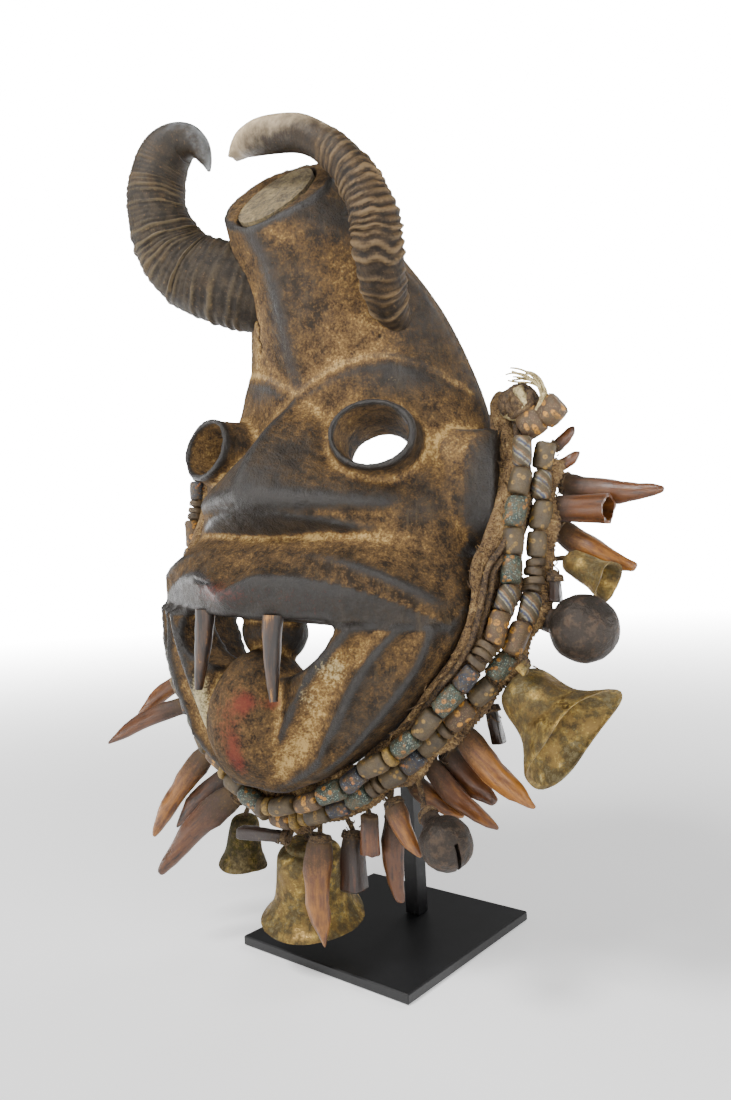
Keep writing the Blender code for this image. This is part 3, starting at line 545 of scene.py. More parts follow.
def eyeForms(side):
    m = maskShape
    wide, tall = m["eyeSize"]
    flare, rim = m["eyeFlare"], m["eyeRim"]
    outside = ovalTube("eyeTube", side, [(d, wide + 2 * g, tall + 2 * g) for d, g in (
        (0.0, -1.3), (0.7, 0.0), (6.0, 0.0), (14.0, flare * 0.4), (22.0, flare), (30.0, flare * 2))])
    holeWide, holeTall = m["eyeHole"]
    inside = ovalTube("eyeBore", side, [
        (d, mix(holeWide, wide - 2 * rim, s), mix(holeTall, tall - 2 * rim, s))
        for d, s in ((-4.0, 1.0), (4.0, 1.0), (12.0, 0.62), (m["eyeBore"], 0.0), (51.0, 0.15))])
    return outside, inside


def earForm(side):
    e = maskShape["ear"]

    def place(u, v):
        z = mix(e["low"], e["high"], v)
        reach = mix(e["root"] + 12, e["reach"], sin(pi * mix(0.12, 0.86, v)) ** 0.5)
        c = u * 2
        out = c if c <= 1 else 2 - c
        back = 0.0 if c <= 1 else e["thick"]
        x = side * mix(e["root"], reach - (0 if c <= 1 else 1), out)
        y = e["y"] + e["sweep"] * out**1.5 + 9 * abs(2 * v - 1) ** 4
        return x, y + back * (1 if 0.02 < u < 0.98 else 0.5), z
    return wrapSheet("earForm", 40, 24, place)


def smoothedPoints(points, edges, rounds):
    # each vertex drawn to the mean of its neighbours, again and again
    a, b = edges[:, 0], edges[:, 1]
    count = np.bincount(a, minlength=len(points)) + np.bincount(b, minlength=len(points))
    current = points.copy()
    for _ in range(rounds):
        total = np.stack([np.bincount(a, current[b, k], len(points))
                          + np.bincount(b, current[a, k], len(points))
                          for k in range(3)], 1)
        current = 0.35 * current + 0.65 * total / np.maximum(count, 1)[:, None]
    return current


def lineDistance(x, z, line):
    # nearest distance in the front view from each point to a bent line
    best = np.full(len(x), 1e9)
    for (ax, az), (bx, bz) in zip(line, line[1:]):
        dx, dz = bx - ax, bz - az
        t = np.clip(((x - ax) * dx + (z - az) * dz) / (dx * dx + dz * dz), 0, 1)
        best = np.minimum(best, np.hypot(x - ax - t * dx, z - az - t * dz))
    return best


# where the photograph shows wear: x, height, reach across and up, strength
maskWear = {
    "dark": ((27, 168, 11, 9, 0.9), (12, 141, 10, 16, 0.45), (50, 126, 10, 22, 0.9), (47, 101, 22, 7.5, 0.8),
             (-23, 101, 13, 6, 0.8), (13, 66, 12, 14, 0.9), (24, 47, 18, 6, 0.9), (4, 50, 9, 12, 0.7),
             (66, 47, 13, 11, 0.6), (62, -28, 9, 16, 0.55), (51, -46, 9, 13, 0.7), (83, 50, 5, 22, 0.5),
             (-13, 60, 12, 16, 0.7), (-60, -30, 14, 30, 0.7), (45, 56, 20, 5, 0.4), (30, 10, 46, 8, 0.25)),
    "dust": ((32, 30, 34, 4, 0.3), (31, 83, 9, 12, 0.7), (64, 72, 9, 14, 0.7),
             (35, 122, 20, 9, 0.55), (38, 140, 6, 12, 0.6), (-24, 135, 10, 16, 0.75), (10, 160, 9, 5, 0.5),
             (26, 148, 5, 14, 0.5), (14, 78, 6, 6, 0.4), (-30, 118, 8, 8, 0.5), (8, 88, 8, 5, 0.5),
             (-12, 178, 18, 12, 0.5), (75, 70, 8, 10, 0.6)),
    "pale": ((-27, -36, 5, 12, 0.75), (-22, -50, 5, 12, 0.7), (-12, -62, 5, 8, 0.5), (46, -21, 6, 8, 0.62),
             (36, -34, 6, 12, 0.5), (22, -60, 6, 9, 0.3), (45, 100, 4, 6, 0.35), (37, 24, 30, 10, 0.2)),
    "red": ((2, -45, 9, 18, 0.42), (9, -37, 4, 4, 0.8), (18, -37, 3, 3, 0.6), (5, -60, 4, 9, 0.6),
            (-6, 8, 20, 6, 0.45), (34, 5, 16, 7, 0.2)),
}
jawGroove = ((48, -14), (40, -30), (30, -50), (20, -66))
darkArris = ((-7, 162), (-2, 155), (-0.5, 146), (-1.5, 129), (-3, 112), (0.5, 97))
cracks = (((-29, 146), (-27, 141), (-24.6, 137.4), (-21, 131), (-19.4, 128.8)),
          ((-19.4, 128.8), (-22, 126), (-24.8, 125), (-21.8, 121.4), (-25, 119)),
          ((-24, 12.5), (-15, 11), (-8, 12)), ((38, 120), (46, 119), (53, 121)))


def makeMask(wood):
    m = maskShape
    block = maskBlock()
    for side in (1, -1):
        tube, bore = eyeForms(side)
        combine(block, tube, "UNION")
        combine(block, earForm(side), "UNION")
        if side == 1:
            for cutter in (hollowCutter(), mouthCutter()):
                combine(block, cutter, "DIFFERENCE")
        combine(block, bore, "DIFFERENCE")
    for values in m["tongue"]:
        combine(block, ovalForm("tongueForm", *values), "UNION")
    print("mask cut", len(block.data.vertices))
    applyModifier(block, "REMESH", mode="VOXEL", voxel_size=m["voxel"] * mm)
    applyModifier(block, "SMOOTH", factor=0.5, iterations=3)
    print("mask remeshed", len(block.data.vertices))
    weatherMask(block)
    return finishPiece(dress(block, wood), ["mask_body"], smooth=60)


def weatherMask(piece):
    # wear by curvature and by place, painted shade under the nose, on the lip's front face and on the ear's
    # side, then fine unevenness, cracks and the plug's seam
    points, normals, edges = readMesh(piece)
    local = points / mm
    x, y, z = local.T
    near = smoothedPoints(points, edges, 6)
    wide = smoothedPoints(near, edges, 40)
    hollowNear = np.einsum("ij,ij->i", near - points, normals) / mm
    hollowWide = np.einsum("ij,ij->i", wide - near, normals) / mm
    facing = np.clip(-normals[:, 1] * 1.6 + 0.35, 0, 1)

    def spots(kind):
        total = np.zeros(len(x))
        for sx, sz, rx, rz, strength in maskWear[kind]:
            total += strength * np.exp(-(((x - sx) / rx) ** 2 + ((z - sz) / rz) ** 2))
        return total * facing

    arcGap = np.array([zz - arcHeight(abs(xx)) for xx, zz in zip(x, z)])
    arcLine = np.exp(-((arcGap / 1.7) ** 2)) * facing * (np.abs(x) < 68)
    arris = np.exp(-((lineDistance(x, z, darkArris) / 4.5) ** 2)) * facing
    share = np.clip(np.abs(x) / maskShape["lipHalf"], 0, 1)
    edgeZ = np.array([lipEdgeZ(s, xx) for s, xx in zip(share, np.abs(x))])
    # painted shade with polish: the lip's front face below its edge, which turns down, is made darker and
    # glossier
    lipFrontShadeAndPolish = ((z < edgeZ + 1) & (z > -5) & (y < -62)).astype(float) * facing
    tongue = np.exp(-((x / 22) ** 4 + ((z + 46) / 28) ** 4)) * (y < -76)
    groove = np.exp(-((lineDistance(x, z, jawGroove) / 5) ** 2)) * (y < -66)
    # painted shade with polish: the right ear's outward side, turned from the key lamp, is made darker and
    # glossier
    earSideShadeAndPolish = np.clip(normals[:, 0] * 2.2 - 0.8, 0, 1) * (x > 77) * (z > 24) * (z < 84)
    # painted shade: the nose's underside, which faces down, is made darker
    noseUnderShade = np.clip(-normals[:, 2] * 1.5 - 0.4, 0, 1) * (z > 22) * (z < 44) * (y < -60)
    inside = (y > -56) & (normals[:, 1] > 0.2)
    bore = np.exp(-(((x - 50) / 15) ** 4 + ((z - 74) / 13) ** 4)) * (y > -62) * (y < -30)
    # the lip front, ear side and nose underside terms lower the dust there as painted shade
    dust = (0.49 + 0.32 * np.clip(hollowNear * 3.0, -1, 1) + 0.10 * np.clip(hollowWide * 1.3, -1, 1.2)
            + 0.5 * spots("dust") + 0.55 * arcLine + 0.16 * tongue + 0.3 * groove - 0.36 * spots("dark")
            - 0.35 * arris - 0.7 * lipFrontShadeAndPolish - 0.8 * noseUnderShade - 0.5 * earSideShadeAndPolish - 0.3 * bore)
    rims = np.zeros(len(x))
    for side in (1, -1):
        forward, sideways, upward = [np.array(axis) for axis in eyeAxes(side)]
        offset = local - np.array((side * maskShape["eye"][0], *maskShape["eye"][1:]))
        wide, tall = maskShape["eyeSize"]
        reach = np.hypot(offset @ sideways / (wide / 2), offset @ upward / (tall / 2))
        rims += np.exp(-((offset @ forward / 2.2) ** 2) - ((reach - 0.96) / 0.12) ** 2)
    dust -= 0.7 * rims
    # polish and painted shade: dark glossy wear on edges, spots, arris and rims, plus painted shade on the
    # lip front, ear side and nose underside
    polishAndShade = (np.clip(-hollowNear * 4.0, 0, 1) * 0.8 + 0.6 * spots("dark") + 0.4 * arris + 0.62 * lipFrontShadeAndPolish
              + 0.7 * earSideShadeAndPolish + 0.6 * noseUnderShade + rims) * (1 - 0.9 * tongue)
    crack = np.zeros(len(x))
    for line in cracks:
        crack = np.maximum(crack, np.exp(-((lineDistance(x, z, line) / 0.75) ** 2)) * (y < -48))
    centre = Vector(maskShape["topCentre"])
    across, along, up = [topTurn() @ Vector(v) for v in ((1, 0, 0), (0, 1, 0), (0, 0, 1))]
    middle = np.array(centre + along * maskShape["plugShift"])
    offset = local - middle
    reach = np.hypot(offset @ np.array(across) / (maskShape["plugSize"][0] / 2),
                     offset @ np.array(along) / (maskShape["plugSize"][1] / 2))
    height = offset @ np.array(up)
    onTop = np.abs(height) < 2.5
    seam = np.exp(-(((reach - 1.0) / 0.045) ** 2)) * onTop
    plugArea = (reach < 1.0) * onTop
    crack = np.maximum(crack, seam * 0.9)
    move = np.array([0.42 * grain(a, b, c, 17) + 0.22 * grain(a, b, c, 6, 3.1)
                     + 0.10 * grain(a, b, c, 2.6, 5.7)
                     for a, b, c in local])
    chips = np.array([noise.cell(Vector((a / 9, b / 9, c / 14))) for a, b, c in local])
    chips = smoothedPoints(np.stack([chips] * 3, 1), edges, 4)[:, 0]
    move += 0.25 * chips * (~inside)
    move -= 1.5 * crack
    move -= plugArea * 3.2
    setPoints(piece, points + normals * (move * mm)[:, None])
    for name, value, most in (("dust", dust - 0.25 * inside, 1.2), ("polishAndShade", polishAndShade, 1),
                              ("pale", spots("pale"), 1), ("red", spots("red"), 1),
                              ("crack", crack * 1.3, 1)):
        setValues(piece, name, np.clip(value, 0, most))


def makeWood():
    # hardwood cut with an adze, blackened by smoke and oil, with ochre dust caught in its grain, and painted
    # shade under the nose, on the lip's front face and on the ear's side
    wood, tree, shader, coords = newFinish("blackenedHardwood", 0.6)
    worn = {name: addNode(tree, "Attribute", output="Fac", attribute_name=name)
            for name in ("dust", "polishAndShade", "pale", "red", "crack")}
    fine, speck, middle, large = makeGrains(tree, coords, 0.9, 2.2, 6.0, 24.0)
    along = addNode(tree, "Mapping", {"Vector": coords, "Scale": (1.0, 1.0, 0.12)})
    fibres, = makeGrains(tree, along, 2.0)
    colour = layColours(tree, "#1f1811", (middle, 0.36, 0.6, 1.0, "#34291c"),
                        (fibres, 0.5, 0.72, 0.6, "#433725"))
    polishAndShadeDark = weigh(tree, (worn["polishAndShade"], 1.0), (large, 0.5), (speck, -0.3))
    level = weigh(tree, (worn["dust"], 1.3), (fine, 1.7), (speck, 1.3), (middle, 0.8), (large, 0.7))
    stain = weigh(tree, (worn["red"], 1.0), (speck, 0.9), (fine, 0.9))
    cream = weigh(tree, (worn["pale"], 1.0), (speck, 0.9), (fine, 1.0))
    # the #130f0b layer is polish darkening together with painted shade under the nose, on the lip front and
    # on the ear's side
    colour = layColours(tree, colour, (level, 2.52, 3.15, 0.9, "#523e26"), (level, 2.95, 3.5, 0.9, "#735934"),
                        (level, 3.3, 3.8, 0.9, "#a18552"), (polishAndShadeDark, 0.4, 0.95, 0.88, "#130f0b"),
                        (stain, 1.1, 1.65, 0.75, "#652d24"), (cream, 1.35, 1.9, 0.9, "#ada078"),
                        (worn["crack"], 0.2, 0.8, 0.95, "#090604"))
    gloss = weigh(tree, (worn["polishAndShade"], 1.0), (speck, -0.6), (fine, -0.4))
    height = weigh(tree, (fine, 0.5), (speck, 0.5), (middle, 0.8), (fibres, 0.35))
    finishSurface(tree, shader, colour, height, 1.2, 0.8,
                  {"Roughness": (gloss, -0.4, 0.4, 0.8, 0.46),
                   "Specular IOR Level": (gloss, -0.4, 0.4, 0.15, 0.42)})
    return wood


plugShape = {"rimWear": 0.35, "steps": 40, "sides": 72}


def makePlug():
    # end grain of the oval plug, sunk level in the sloping top
    finish, tree, shader, coords = newFinish("plugEndGrain", 0.85)
    fine, speck, middle = makeGrains(tree, coords, 1.1, 2.6, 7.0)
    level = weigh(tree, (fine, 0.6), (speck, 0.5), (middle, 0.6))
    colour = layColours(tree, "#3b3325", (level, 0.7, 0.95, 0.9, "#6b5c3e"),
                        (level, 0.92, 1.12, 0.8, "#94835a"))
    finishSurface(tree, shader, colour, level, 0.9, 0.7)
    m, turn = maskShape, topTurn()
    centre = Vector(m["topCentre"]) + turn @ Vector((0, m["plugShift"], 0))
    wide, long = m["plugSize"]

    def place(u, v):
        a = 2 * pi * u
        level = mix(-m["plugDepth"], 0.9, min(v / 0.35, 1.0))
        inward = 1.0 if v < 0.35 else mix(1.0, 0.02, (v - 0.35) / 0.65)
        edge = 0.7 * ramp(0.30, 0.40, v) * ramp(0.88, 0.99, inward)
        px, py = (wide / 2 - 0.7) * cos(a) * inward, (long / 2 - 0.7) * sin(a) * inward
        lift = plugShape["rimWear"] * (grain(px, py, 0, 7) + 0.6 * grain(px, py, 3, 2.2))
        return centre + turn @ Vector((px, py, level - edge + lift * (v > 0.35)))
    plug = wrapSheet("crest_plug", plugShape["sides"], plugShape["steps"], place)
    return finishPiece(dress(plug, finish), ["crest_plug"], 45)


hornShapes = {
    "horn_left": {"ribs": 44, "ribbed": 0.7, "depth": 0.034, "stations": (
        (-19.0, -50.0, 144.5, 16.0), (-36.0, -60.0, 151.0, 20.0), (-54.0, -70.0, 158.0, 19.0),
        (-63.5, -77.0, 167.0, 17.4), (-67.5, -82.0, 179.0, 15.5), (-68.0, -85.0, 191.0, 14.0),
        (-66.0, -86.0, 203.0, 13.3), (-60.5, -85.0, 212.5, 11.8), (-52.0, -83.0, 216.5, 9.0),
        (-44.5, -81.0, 213.5, 6.0), (-41.0, -79.0, 207.0, 3.2), (-39.5, -78.0, 201.5, 0.8)),
        # the left horn's grey-blue tip colour is a painted highlight on its smooth dark tip
        "deep": "#17120d", "body": "#30281d", "ridge": "#50442f", "tip": "#85888a", "tipStart": 0.78},
    "horn_right": {"ribs": 33, "ribbed": 0.7, "depth": 0.068, "stations": (
        (40.0, -32.0, 125.0, 4.5), (45.0, -51.0, 131.5, 8.3), (48.0, -60.0, 138.0, 9.6),
        (51.0, -68.0, 150.0, 10.7),
        (52.0, -72.0, 159.5, 10.2), (50.0, -75.0, 168.5, 9.2), (45.0, -77.0, 178.5, 8.4),
        (35.5, -78.0, 189.0, 7.6), (24.0, -78.0, 198.0, 7.7), (12.0, -77.0, 204.0, 7.9),
        (-4.5, -76.0, 208.5, 7.9), (-18.0, -74.0, 210.5, 6.6), (-25.5, -73.0, 209.5, 4.6)),
        "deep": "#100b07", "body": "#332718", "ridge": "#67543a", "tip": "#b5a182", "tipStart": 0.68},
}


hornSheet = {"columns": 44, "rows": 280, "steps": 200, "snapped": 0.97}


def makeKeratin(name, h):
    # keratin of a small antelope's or goat's horn: dull ribs with painted highlight on their crests and
    # painted shade in the grooves, a smooth paler tip that on the left horn is a painted highlight, and an
    # upper side painted paler as painted light
    finish, tree, shader, coords = newFinish(name, 0.6)
    along, rib, topLight = [addNode(tree, "Attribute", output="Fac", attribute_name=key)
                         for key in ("along", "rib", "topLight")]
    fine, middle, large = makeGrains(tree, coords, 1.3, 5.0, 16.0)
    # painted highlight along the ribs' crests (ridge) and painted shade in the grooves (hollow)
    ridge = weigh(tree, (rib, 1.0), (fine, 0.8), (middle, 0.4))
    hollow = weigh(tree, (rib, -1.0), (fine, 0.8), (large, 0.6))
    # painted light: the upward-facing side takes the pale tip colour as well as the tip itself
    bareTipAndTopLight = weigh(tree, (along, 1.0), (topLight, 0.35), (middle, 0.35))
    shader.inputs["Specular IOR Level"].default_value = 0.22
    colour = layColours(tree, h["body"], (middle, 0.42, 0.6, 0.85, h["deep"]),
                        (ridge, 0.8, 1.6, 0.7, h["ridge"]),
                        (large, 0.5, 0.62, 0.3, "#4d3a20"),
                        (hollow, 0.4, 0.8, 0.75, h["deep"]), (fine, 0.58, 0.75, 0.45, "#6b5130"),
                        (bareTipAndTopLight, h["tipStart"] + 0.3, 1.45, 1.0, h["tip"]))
    finishSurface(tree, shader, colour, weigh(tree, (fine, 0.6), (middle, 0.6)), 0.8, 0.6,
                  {"Roughness": (bareTipAndTopLight, 0.7, 1.4, 0.72, 0.4)})
    return finish


def makeHorn(name, broken=False):
    h = hornShapes[name]
    heights = [random.uniform(0.2, 1.25) for _ in range(h["ribs"] + 2)]

    def ribAt(a, t):
        # uneven rings that wander, run together in places and fade towards the tip
        wander = 0.4 * sin(a + 7 * t) + 0.55 * noise.noise(Vector((1.6 * cos(a), 1.6 * sin(a), 9 * t)))
        place = t / h["ribbed"] * h["ribs"] + wander + 0.9 * noise.noise(Vector((0, 3, 11 * t)))
        k = int(max(min(place, h["ribs"]), 0))
        wave = (0.5 - 0.5 * cos(2 * pi * (place - k))) ** 0.8
        patch = 0.8 + 0.7 * noise.noise(Vector((1.2 * cos(a) + 5, 1.2 * sin(a), 14 * t)))
        return wave * heights[k] * max(patch, 0.25) * ramp(1.0, 0.72, t / h["ribbed"]) * ramp(0.0, 0.1, t)

    def shape(a, t):
        lump = 0.05 * noise.noise(Vector((1.5 * cos(a), 1.5 * sin(a), 12 * t)))
        return 1 + h["depth"] * (2 * ribAt(a, t) - 0.8 * ramp(0.9, 0.5, t)) + lump * ramp(1.0, 0.7, t)

    horn = tubeAlong(name, h["stations"], hornSheet["columns"], hornSheet["rows"], shape)
    points, normals, _ = readMesh(horn)
    steps = hornSheet["steps"]
    path = [Vector(curvePoint(h["stations"], i / steps)[:3]) for i in range(steps + 1)]
    frames = [squareTo(curveDirection(h["stations"], i / steps)) for i in range(steps + 1)]
    centres = np.array(path)
    along, ribs = [], []
    for p in points / mm:
        k = int(np.argmin(((centres - p) ** 2).sum(1)))
        d = Vector(p) - path[k]
        along.append(k / steps)
        ribs.append(min(ribAt(atan2(d.dot(frames[k][0]), d.dot(frames[k][1])), k / steps), 1.0))
    if broken:
        # the snapped end: a slant across it, ragged, with a splinter left below
        ends = np.array(along) > hornSheet["snapped"]
        low, high = points[ends, 2].min(), points[ends, 2].max()
        share = (points[:, 2] - low) / (high - low)
        jag = np.array([grain(p[1] / mm, p[2] / mm, 0, 2.0, 1.3) for p in points])
        points[:, 0] -= np.where(ends, (3.5 - 6.0 * share + 1.8 * jag) * mm, 0)
        setPoints(horn, points)
    setValues(horn, "along", along)
    setValues(horn, "rib", ribs)
    # how far each point faces up, used to paint the top paler as painted light
    setValues(horn, "topLight", normals[:, 2] * 0.5 + 0.5)
    return finishPiece(dress(horn, makeKeratin(name + "Keratin", h)), [name], 60)


tuskShape = {"x": 20.0, "y": -95.0, "length": 34.5, "radius": 4.3, "spread": {1: 3.0, -1: 1.5}}


def makeTusks():
    # old teeth or horn points, dark from handling, with yellow streaks and a waxy gloss
    finish, tree, shader, coords = newFinish("tuskStreaked", 0.5)
    along = addNode(tree, "Mapping", {"Vector": coords, "Scale": (1.0, 1.0, 0.16)})
    streak, = makeGrains(tree, along, 2.4)
    blotch, = makeGrains(tree, coords, 9.0)
    gold = weigh(tree, (streak, 1.0), (blotch, 0.6))
    colour = layColours(tree, "#1c1511", (streak, 0.4, 0.6, 1.0, "#3c2818"),
                        (gold, 0.88, 1.02, 0.8, "#a06a20"))
    finishSurface(tree, shader, colour, streak, 0.5, 0.6)
    t = tuskShape
    for side in (1, -1):
        stations = tuple((side * (t["x"] + t["spread"][side] * s * s), t["y"] - 2 * s, -0.5 - t["length"] * s,
                          t["radius"] * (1 - 0.62 * s**2.2)) for s in (0.0, 0.25, 0.5, 0.75, 0.92, 1.0))
        name = "tusk_right" if side > 0 else "tusk_left"
        tusk = tubeAlong(name, stations, 24, 50, lambda a, s: 1 + 0.07 * cos(2 * a + 3 * s)
                         + 0.06 * noise.noise(Vector((cos(a), sin(a) + side, 7 * s))))
        finishPiece(dress(tusk, finish), [name], 60)


collarShape = {
    "stations": (   # right half from the chin to above the ear: place, half thickness, half depth
        (0.0, -57.0, -80.8, 3.0, 8.0), (18.0, -57.0, -80.3, 3.0, 8.0), (38.5, -56.5, -69.5, 3.0, 8.0),
        (52.5, -55.0, -56.0, 2.6, 8.5), (64.4, -53.0, -42.2, 2.1, 10.5), (74.4, -50.0, -28.0, 2.2, 12.0),
        (81.8, -46.5, -17.6, 2.3, 13.0), (86.6, -43.5, -5.8, 2.4, 13.0), (88.6, -41.0, 6.0, 2.4, 13.0),
        (87.0, -37.0, 17.0, 4.6, 12.5), (88.5, -31.0, 28.0, 5.6, 11.0), (90.0, -25.0, 44.0, 6.2, 9.0),
        (87.0, -19.0, 62.0, 6.6, 8.0), (82.0, -15.0, 80.0, 5.4, 7.0), (77.5, -12.0, 97.0, 4.4, 5.0)),
    "leftEnd": 12, "rows": 420, "columns": 40, "cordRadius": 1.25, "hairs": 420,
    "cordRoutes": (     # outwards, backwards, wave, from and to along the collar
        (1.25, -0.45, 0.8, 0.62, 0.98), (1.2, 0.15, 1.2, 0.5, 0.97), (1.1, -0.8, 0.6, 0.45, 0.86),
        (1.2, -0.4, 0.8, 0.03, 0.4)),
}


def fibreFinish():
    # matted bark and plant fibre, stiff with brown dust and old resin
    finish, tree, shader, coords = newFinish("mattedFibre", 0.95)
    fine, speck, middle, large = makeGrains(tree, coords, 0.7, 1.8, 5.0, 18.0)
    level = weigh(tree, (fine, 0.8), (speck, 0.6), (middle, 0.4), (large, 0.4))
    colour = layColours(tree, "#22190f", (level, 0.88, 1.06, 0.95, "#574127"),
                        (level, 1.0, 1.2, 0.9, "#7c623d"),
                        (level, 1.16, 1.34, 0.9, "#a08657"))
    finishSurface(tree, shader, colour, weigh(tree, (fine, 0.8), (speck, 0.8), (middle, 0.5)), 1.3, 0.9)
    return finish


def cordFinish(name, dark, light, pale):
    # two-ply plant cord with dust between its plies; the twist itself is in the mesh
    finish, tree, shader, coords = newFinish(name, 0.9)
    fine, speck, middle = makeGrains(tree, coords, 0.6, 1.6, 6.0)
    level = weigh(tree, (fine, 0.7), (speck, 0.7), (middle, 0.5))
    colour = layColours(tree, dark, (level, 0.8, 1.0, 0.95, light), (level, 1.0, 1.2, 0.8, pale))
    finishSurface(tree, shader, colour, weigh(tree, (fine, 1.0), (speck, 0.6)), 0.6, 0.8)
    return finish


def twisted(turns, depth=0.16):
    # two plies laid round each other
    return lambda a, t: 1 + depth * abs(cos(a - turns * 2 * pi * t)) - depth / 2


def makeCollar(fibre, cord):
    c = collarShape
    left = [(-x, y, z, out, deep) for x, y, z, out, deep in c["stations"][c["leftEnd"]:0:-1]]
    stations = tuple(left) + c["stations"]
    frames = {}

    def frameAt(t):
        if t not in frames:
            x, y, z, out, deep = curvePoint(stations, t)
            along = curveDirection(stations, t)
            outward = Vector((along.z, 0, -along.x)).normalized()
            frames[t] = Vector((x, y, z)), outward, along.cross(outward).normalized(), out, deep
        return frames[t]

    def place(u, t):
        centre, outward, back, out, deep = frameAt(t)
        a = 2 * pi * u
        close = sqrt(min(min(t, 1 - t) * 75 + 0.04, 1.0))
        square = 0.75
        p = (centre + outward * (out * close * abs(cos(a)) ** square * (1 if cos(a) > 0 else -1))
             + back * (deep * close * abs(sin(a)) ** square * (1 if sin(a) > 0 else -1)))
        lump = 0.9 * grain(*p, 7) + 0.6 * grain(*p, 2.6, 4.0) + 0.35 * grain(*p, 1.3, 8.0)
        return p + outward * (lump * max(cos(a), 0) * close) + back * (0.8 * lump * sin(a) * close)
    collar = wrapSheet("beard_collar", c["columns"], c["rows"], place)
    finishPiece(dress(collar, fibre), ["beard_collar"], 70)

    def cordRoute(across, deepShare, wave, low, high):
        steps = []
        for i in range(60):
            t = mix(low, high, i / 59)
            centre, outward, back, out, deep = frameAt(t)
            p = centre + outward * (out * across) + back * (deep * deepShare + wave * sin(0.55 * i))
            steps.append((*p, c["cordRadius"]))
        return dress(tubeAlong("collarCord", steps, 8, 420, twisted(170)), cord)
    cords = [cordRoute(*route) for route in c["cordRoutes"]]
    finishPiece(joinPieces("collarCords", cords), smooth=60)

    kinds = []
    for k in range(4):
        bend = random.uniform(1.0, 3.0)
        hair = tubeAlong("hair", ((-4.5, 0, 0, 0.16), (-1.5, bend * 0.6, 0.3, 0.24), (1.5, bend, -0.3, 0.24),
                                  (4.5, 0.2, 0.4, 0.10)), 4, 6)
        kinds.append(dress(hair, cord if k == 3 else fibre))
    hairs = []
    for i in range(c["hairs"]):
        centre, outward, back, out, deep = frameAt(random.uniform(0.2, 0.98))
        a = random.uniform(-2.0, 0.9)
        p = centre + outward * ((out + 0.5) * abs(cos(a))) + back * (deep * sin(a))
        turn = (Matrix.Translation(p * mm) @ Matrix.Rotation(random.uniform(0, 2 * pi), 4, outward)
                @ aimed(outward)
                @ Matrix.Scale(random.uniform(0.6, 1.5), 4))
        hairs.append(copyPiece(kinds[i % 4], turn))
    for hair in kinds:
        bpy.data.objects.remove(hair)
    finishPiece(joinPieces("collarFibres", hairs), smooth=60)


beadRoutes = {   # half width, drop below the lip, squareness, height and lean at the ears, depths
    "inner": (97.0, 86.5, 1.5, 74.0, 1.0, -76.0, -45.0, -30.0),
    "outer": (103.5, 95.0, 1.45, 72.0, 0.0, -66.0, -37.0, -22.0),
}


def makeRoute(name):
    # a path round the rim and the length along it from the chin to each of its points
    half, drop, square, top, lean, chinY, lipY, earY = beadRoutes[name]
    side = []
    for i in range(81):
        a = 0.5 * pi * i / 80
        z = -drop * cos(a) ** (2 / square)
        side.append(Vector((half * sin(a) ** (2 / square), mix(lipY, chinY, (-z / drop) ** 0.8), z)))
    for i in range(1, 25):
        share = i / 24
        side.append(Vector((half + lean * share**2, mix(lipY, earY, share**0.5), top * share)))
    points = [Vector((-p.x, p.y, p.z)) for p in side[:0:-1]] + side
    places = np.concatenate([[0.0], np.cumsum([(b - a).length for a, b in zip(points, points[1:])])])
    return points, places - places[len(side) - 1]


routes = {name: makeRoute(name) for name in beadRoutes}


def routeAt(name, place):
    points, places = routes[name]
    i = int(np.clip(np.searchsorted(places, place, side="right") - 1, 0, len(places) - 2))
    t = (place - places[i]) / (places[i + 1] - places[i])
    along = (points[min(i + 3, len(points) - 1)] - points[max(i - 2, 0)]).normalized()
    return points[i].lerp(points[i + 1], t), along, Vector((along.z, 0, -along.x)).normalized()


beadKinds = {   # length, radius, body colours, dots and eyes with their spacing, stripes
    "plain": {"length": 11.8, "radius": 4.4, "body": ("#332a1c", "#544730"), "eye": ("#8a6a2c", 1.3, 0.26)},
    "stripe": {"length": 12.4, "radius": 4.3, "body": ("#332b20", "#51452f"),
               "stripes": ("#7d7863", "#2b3550", "#6b4a26")},
    "teal": {"length": 12.2, "radius": 4.4, "body": ("#1d2a26", "#33453c"), "dot": ("#6f7a6a", 6.0, 0.3),
             "eye": ("#a06a28", 1.3, 0.26)},
    "orange": {"length": 14.0, "radius": 4.4, "body": ("#3d2b1c", "#5c432a"), "dot": ("#6b5a3a", 5.0, 0.25),
               "eye": ("#b8802c", 1.15, 0.34)},
    "disc": {"length": 3.3, "radius": 4.3, "body": ("#33281a", "#544229")},
    "yellow": {"length": 3.6, "radius": 4.2, "body": ("#6b5420", "#947531")},
    "navy": {"length": 10.5, "radius": 4.4, "body": ("#171a25", "#2a2e3a"), "dot": ("#626c6f", 5.0, 0.2),
             "eye": ("#97602c", 1.4, 0.22)},
}
beadOrder = {   # from the right ear down to the chin, then on up the left side
    "inner": ("stripe", "plain", "teal", "plain", "teal", "stripe", "orange", "disc", "disc", "disc",
              "navy", "teal",
              "plain", "teal", "yellow", "plain", "navy", "teal", "orange", "plain", "yellow", "disc", "teal",
              "plain", "yellow", "orange", "plain", "teal", "navy", "plain"),
    "outer": ("plain", "stripe", "plain", "plain", "disc", "disc", "disc", "disc", "stripe", "orange",
              "teal", "plain",
              "orange", "disc", "plain", "navy", "plain", "disc", "disc", "teal", "navy", "plain", "yellow",
              "yellow", "orange", "plain", "teal", "orange", "plain", "disc", "disc"),
}


# two lumps above the outer strand's right end: place, aim, growth
swollenBeads = (((99, -24, 79.5), (0.9, 0.1, 0.5), 1.25), ((107.5, -24, 84), (0.8, 0, 0.7), 1.2))


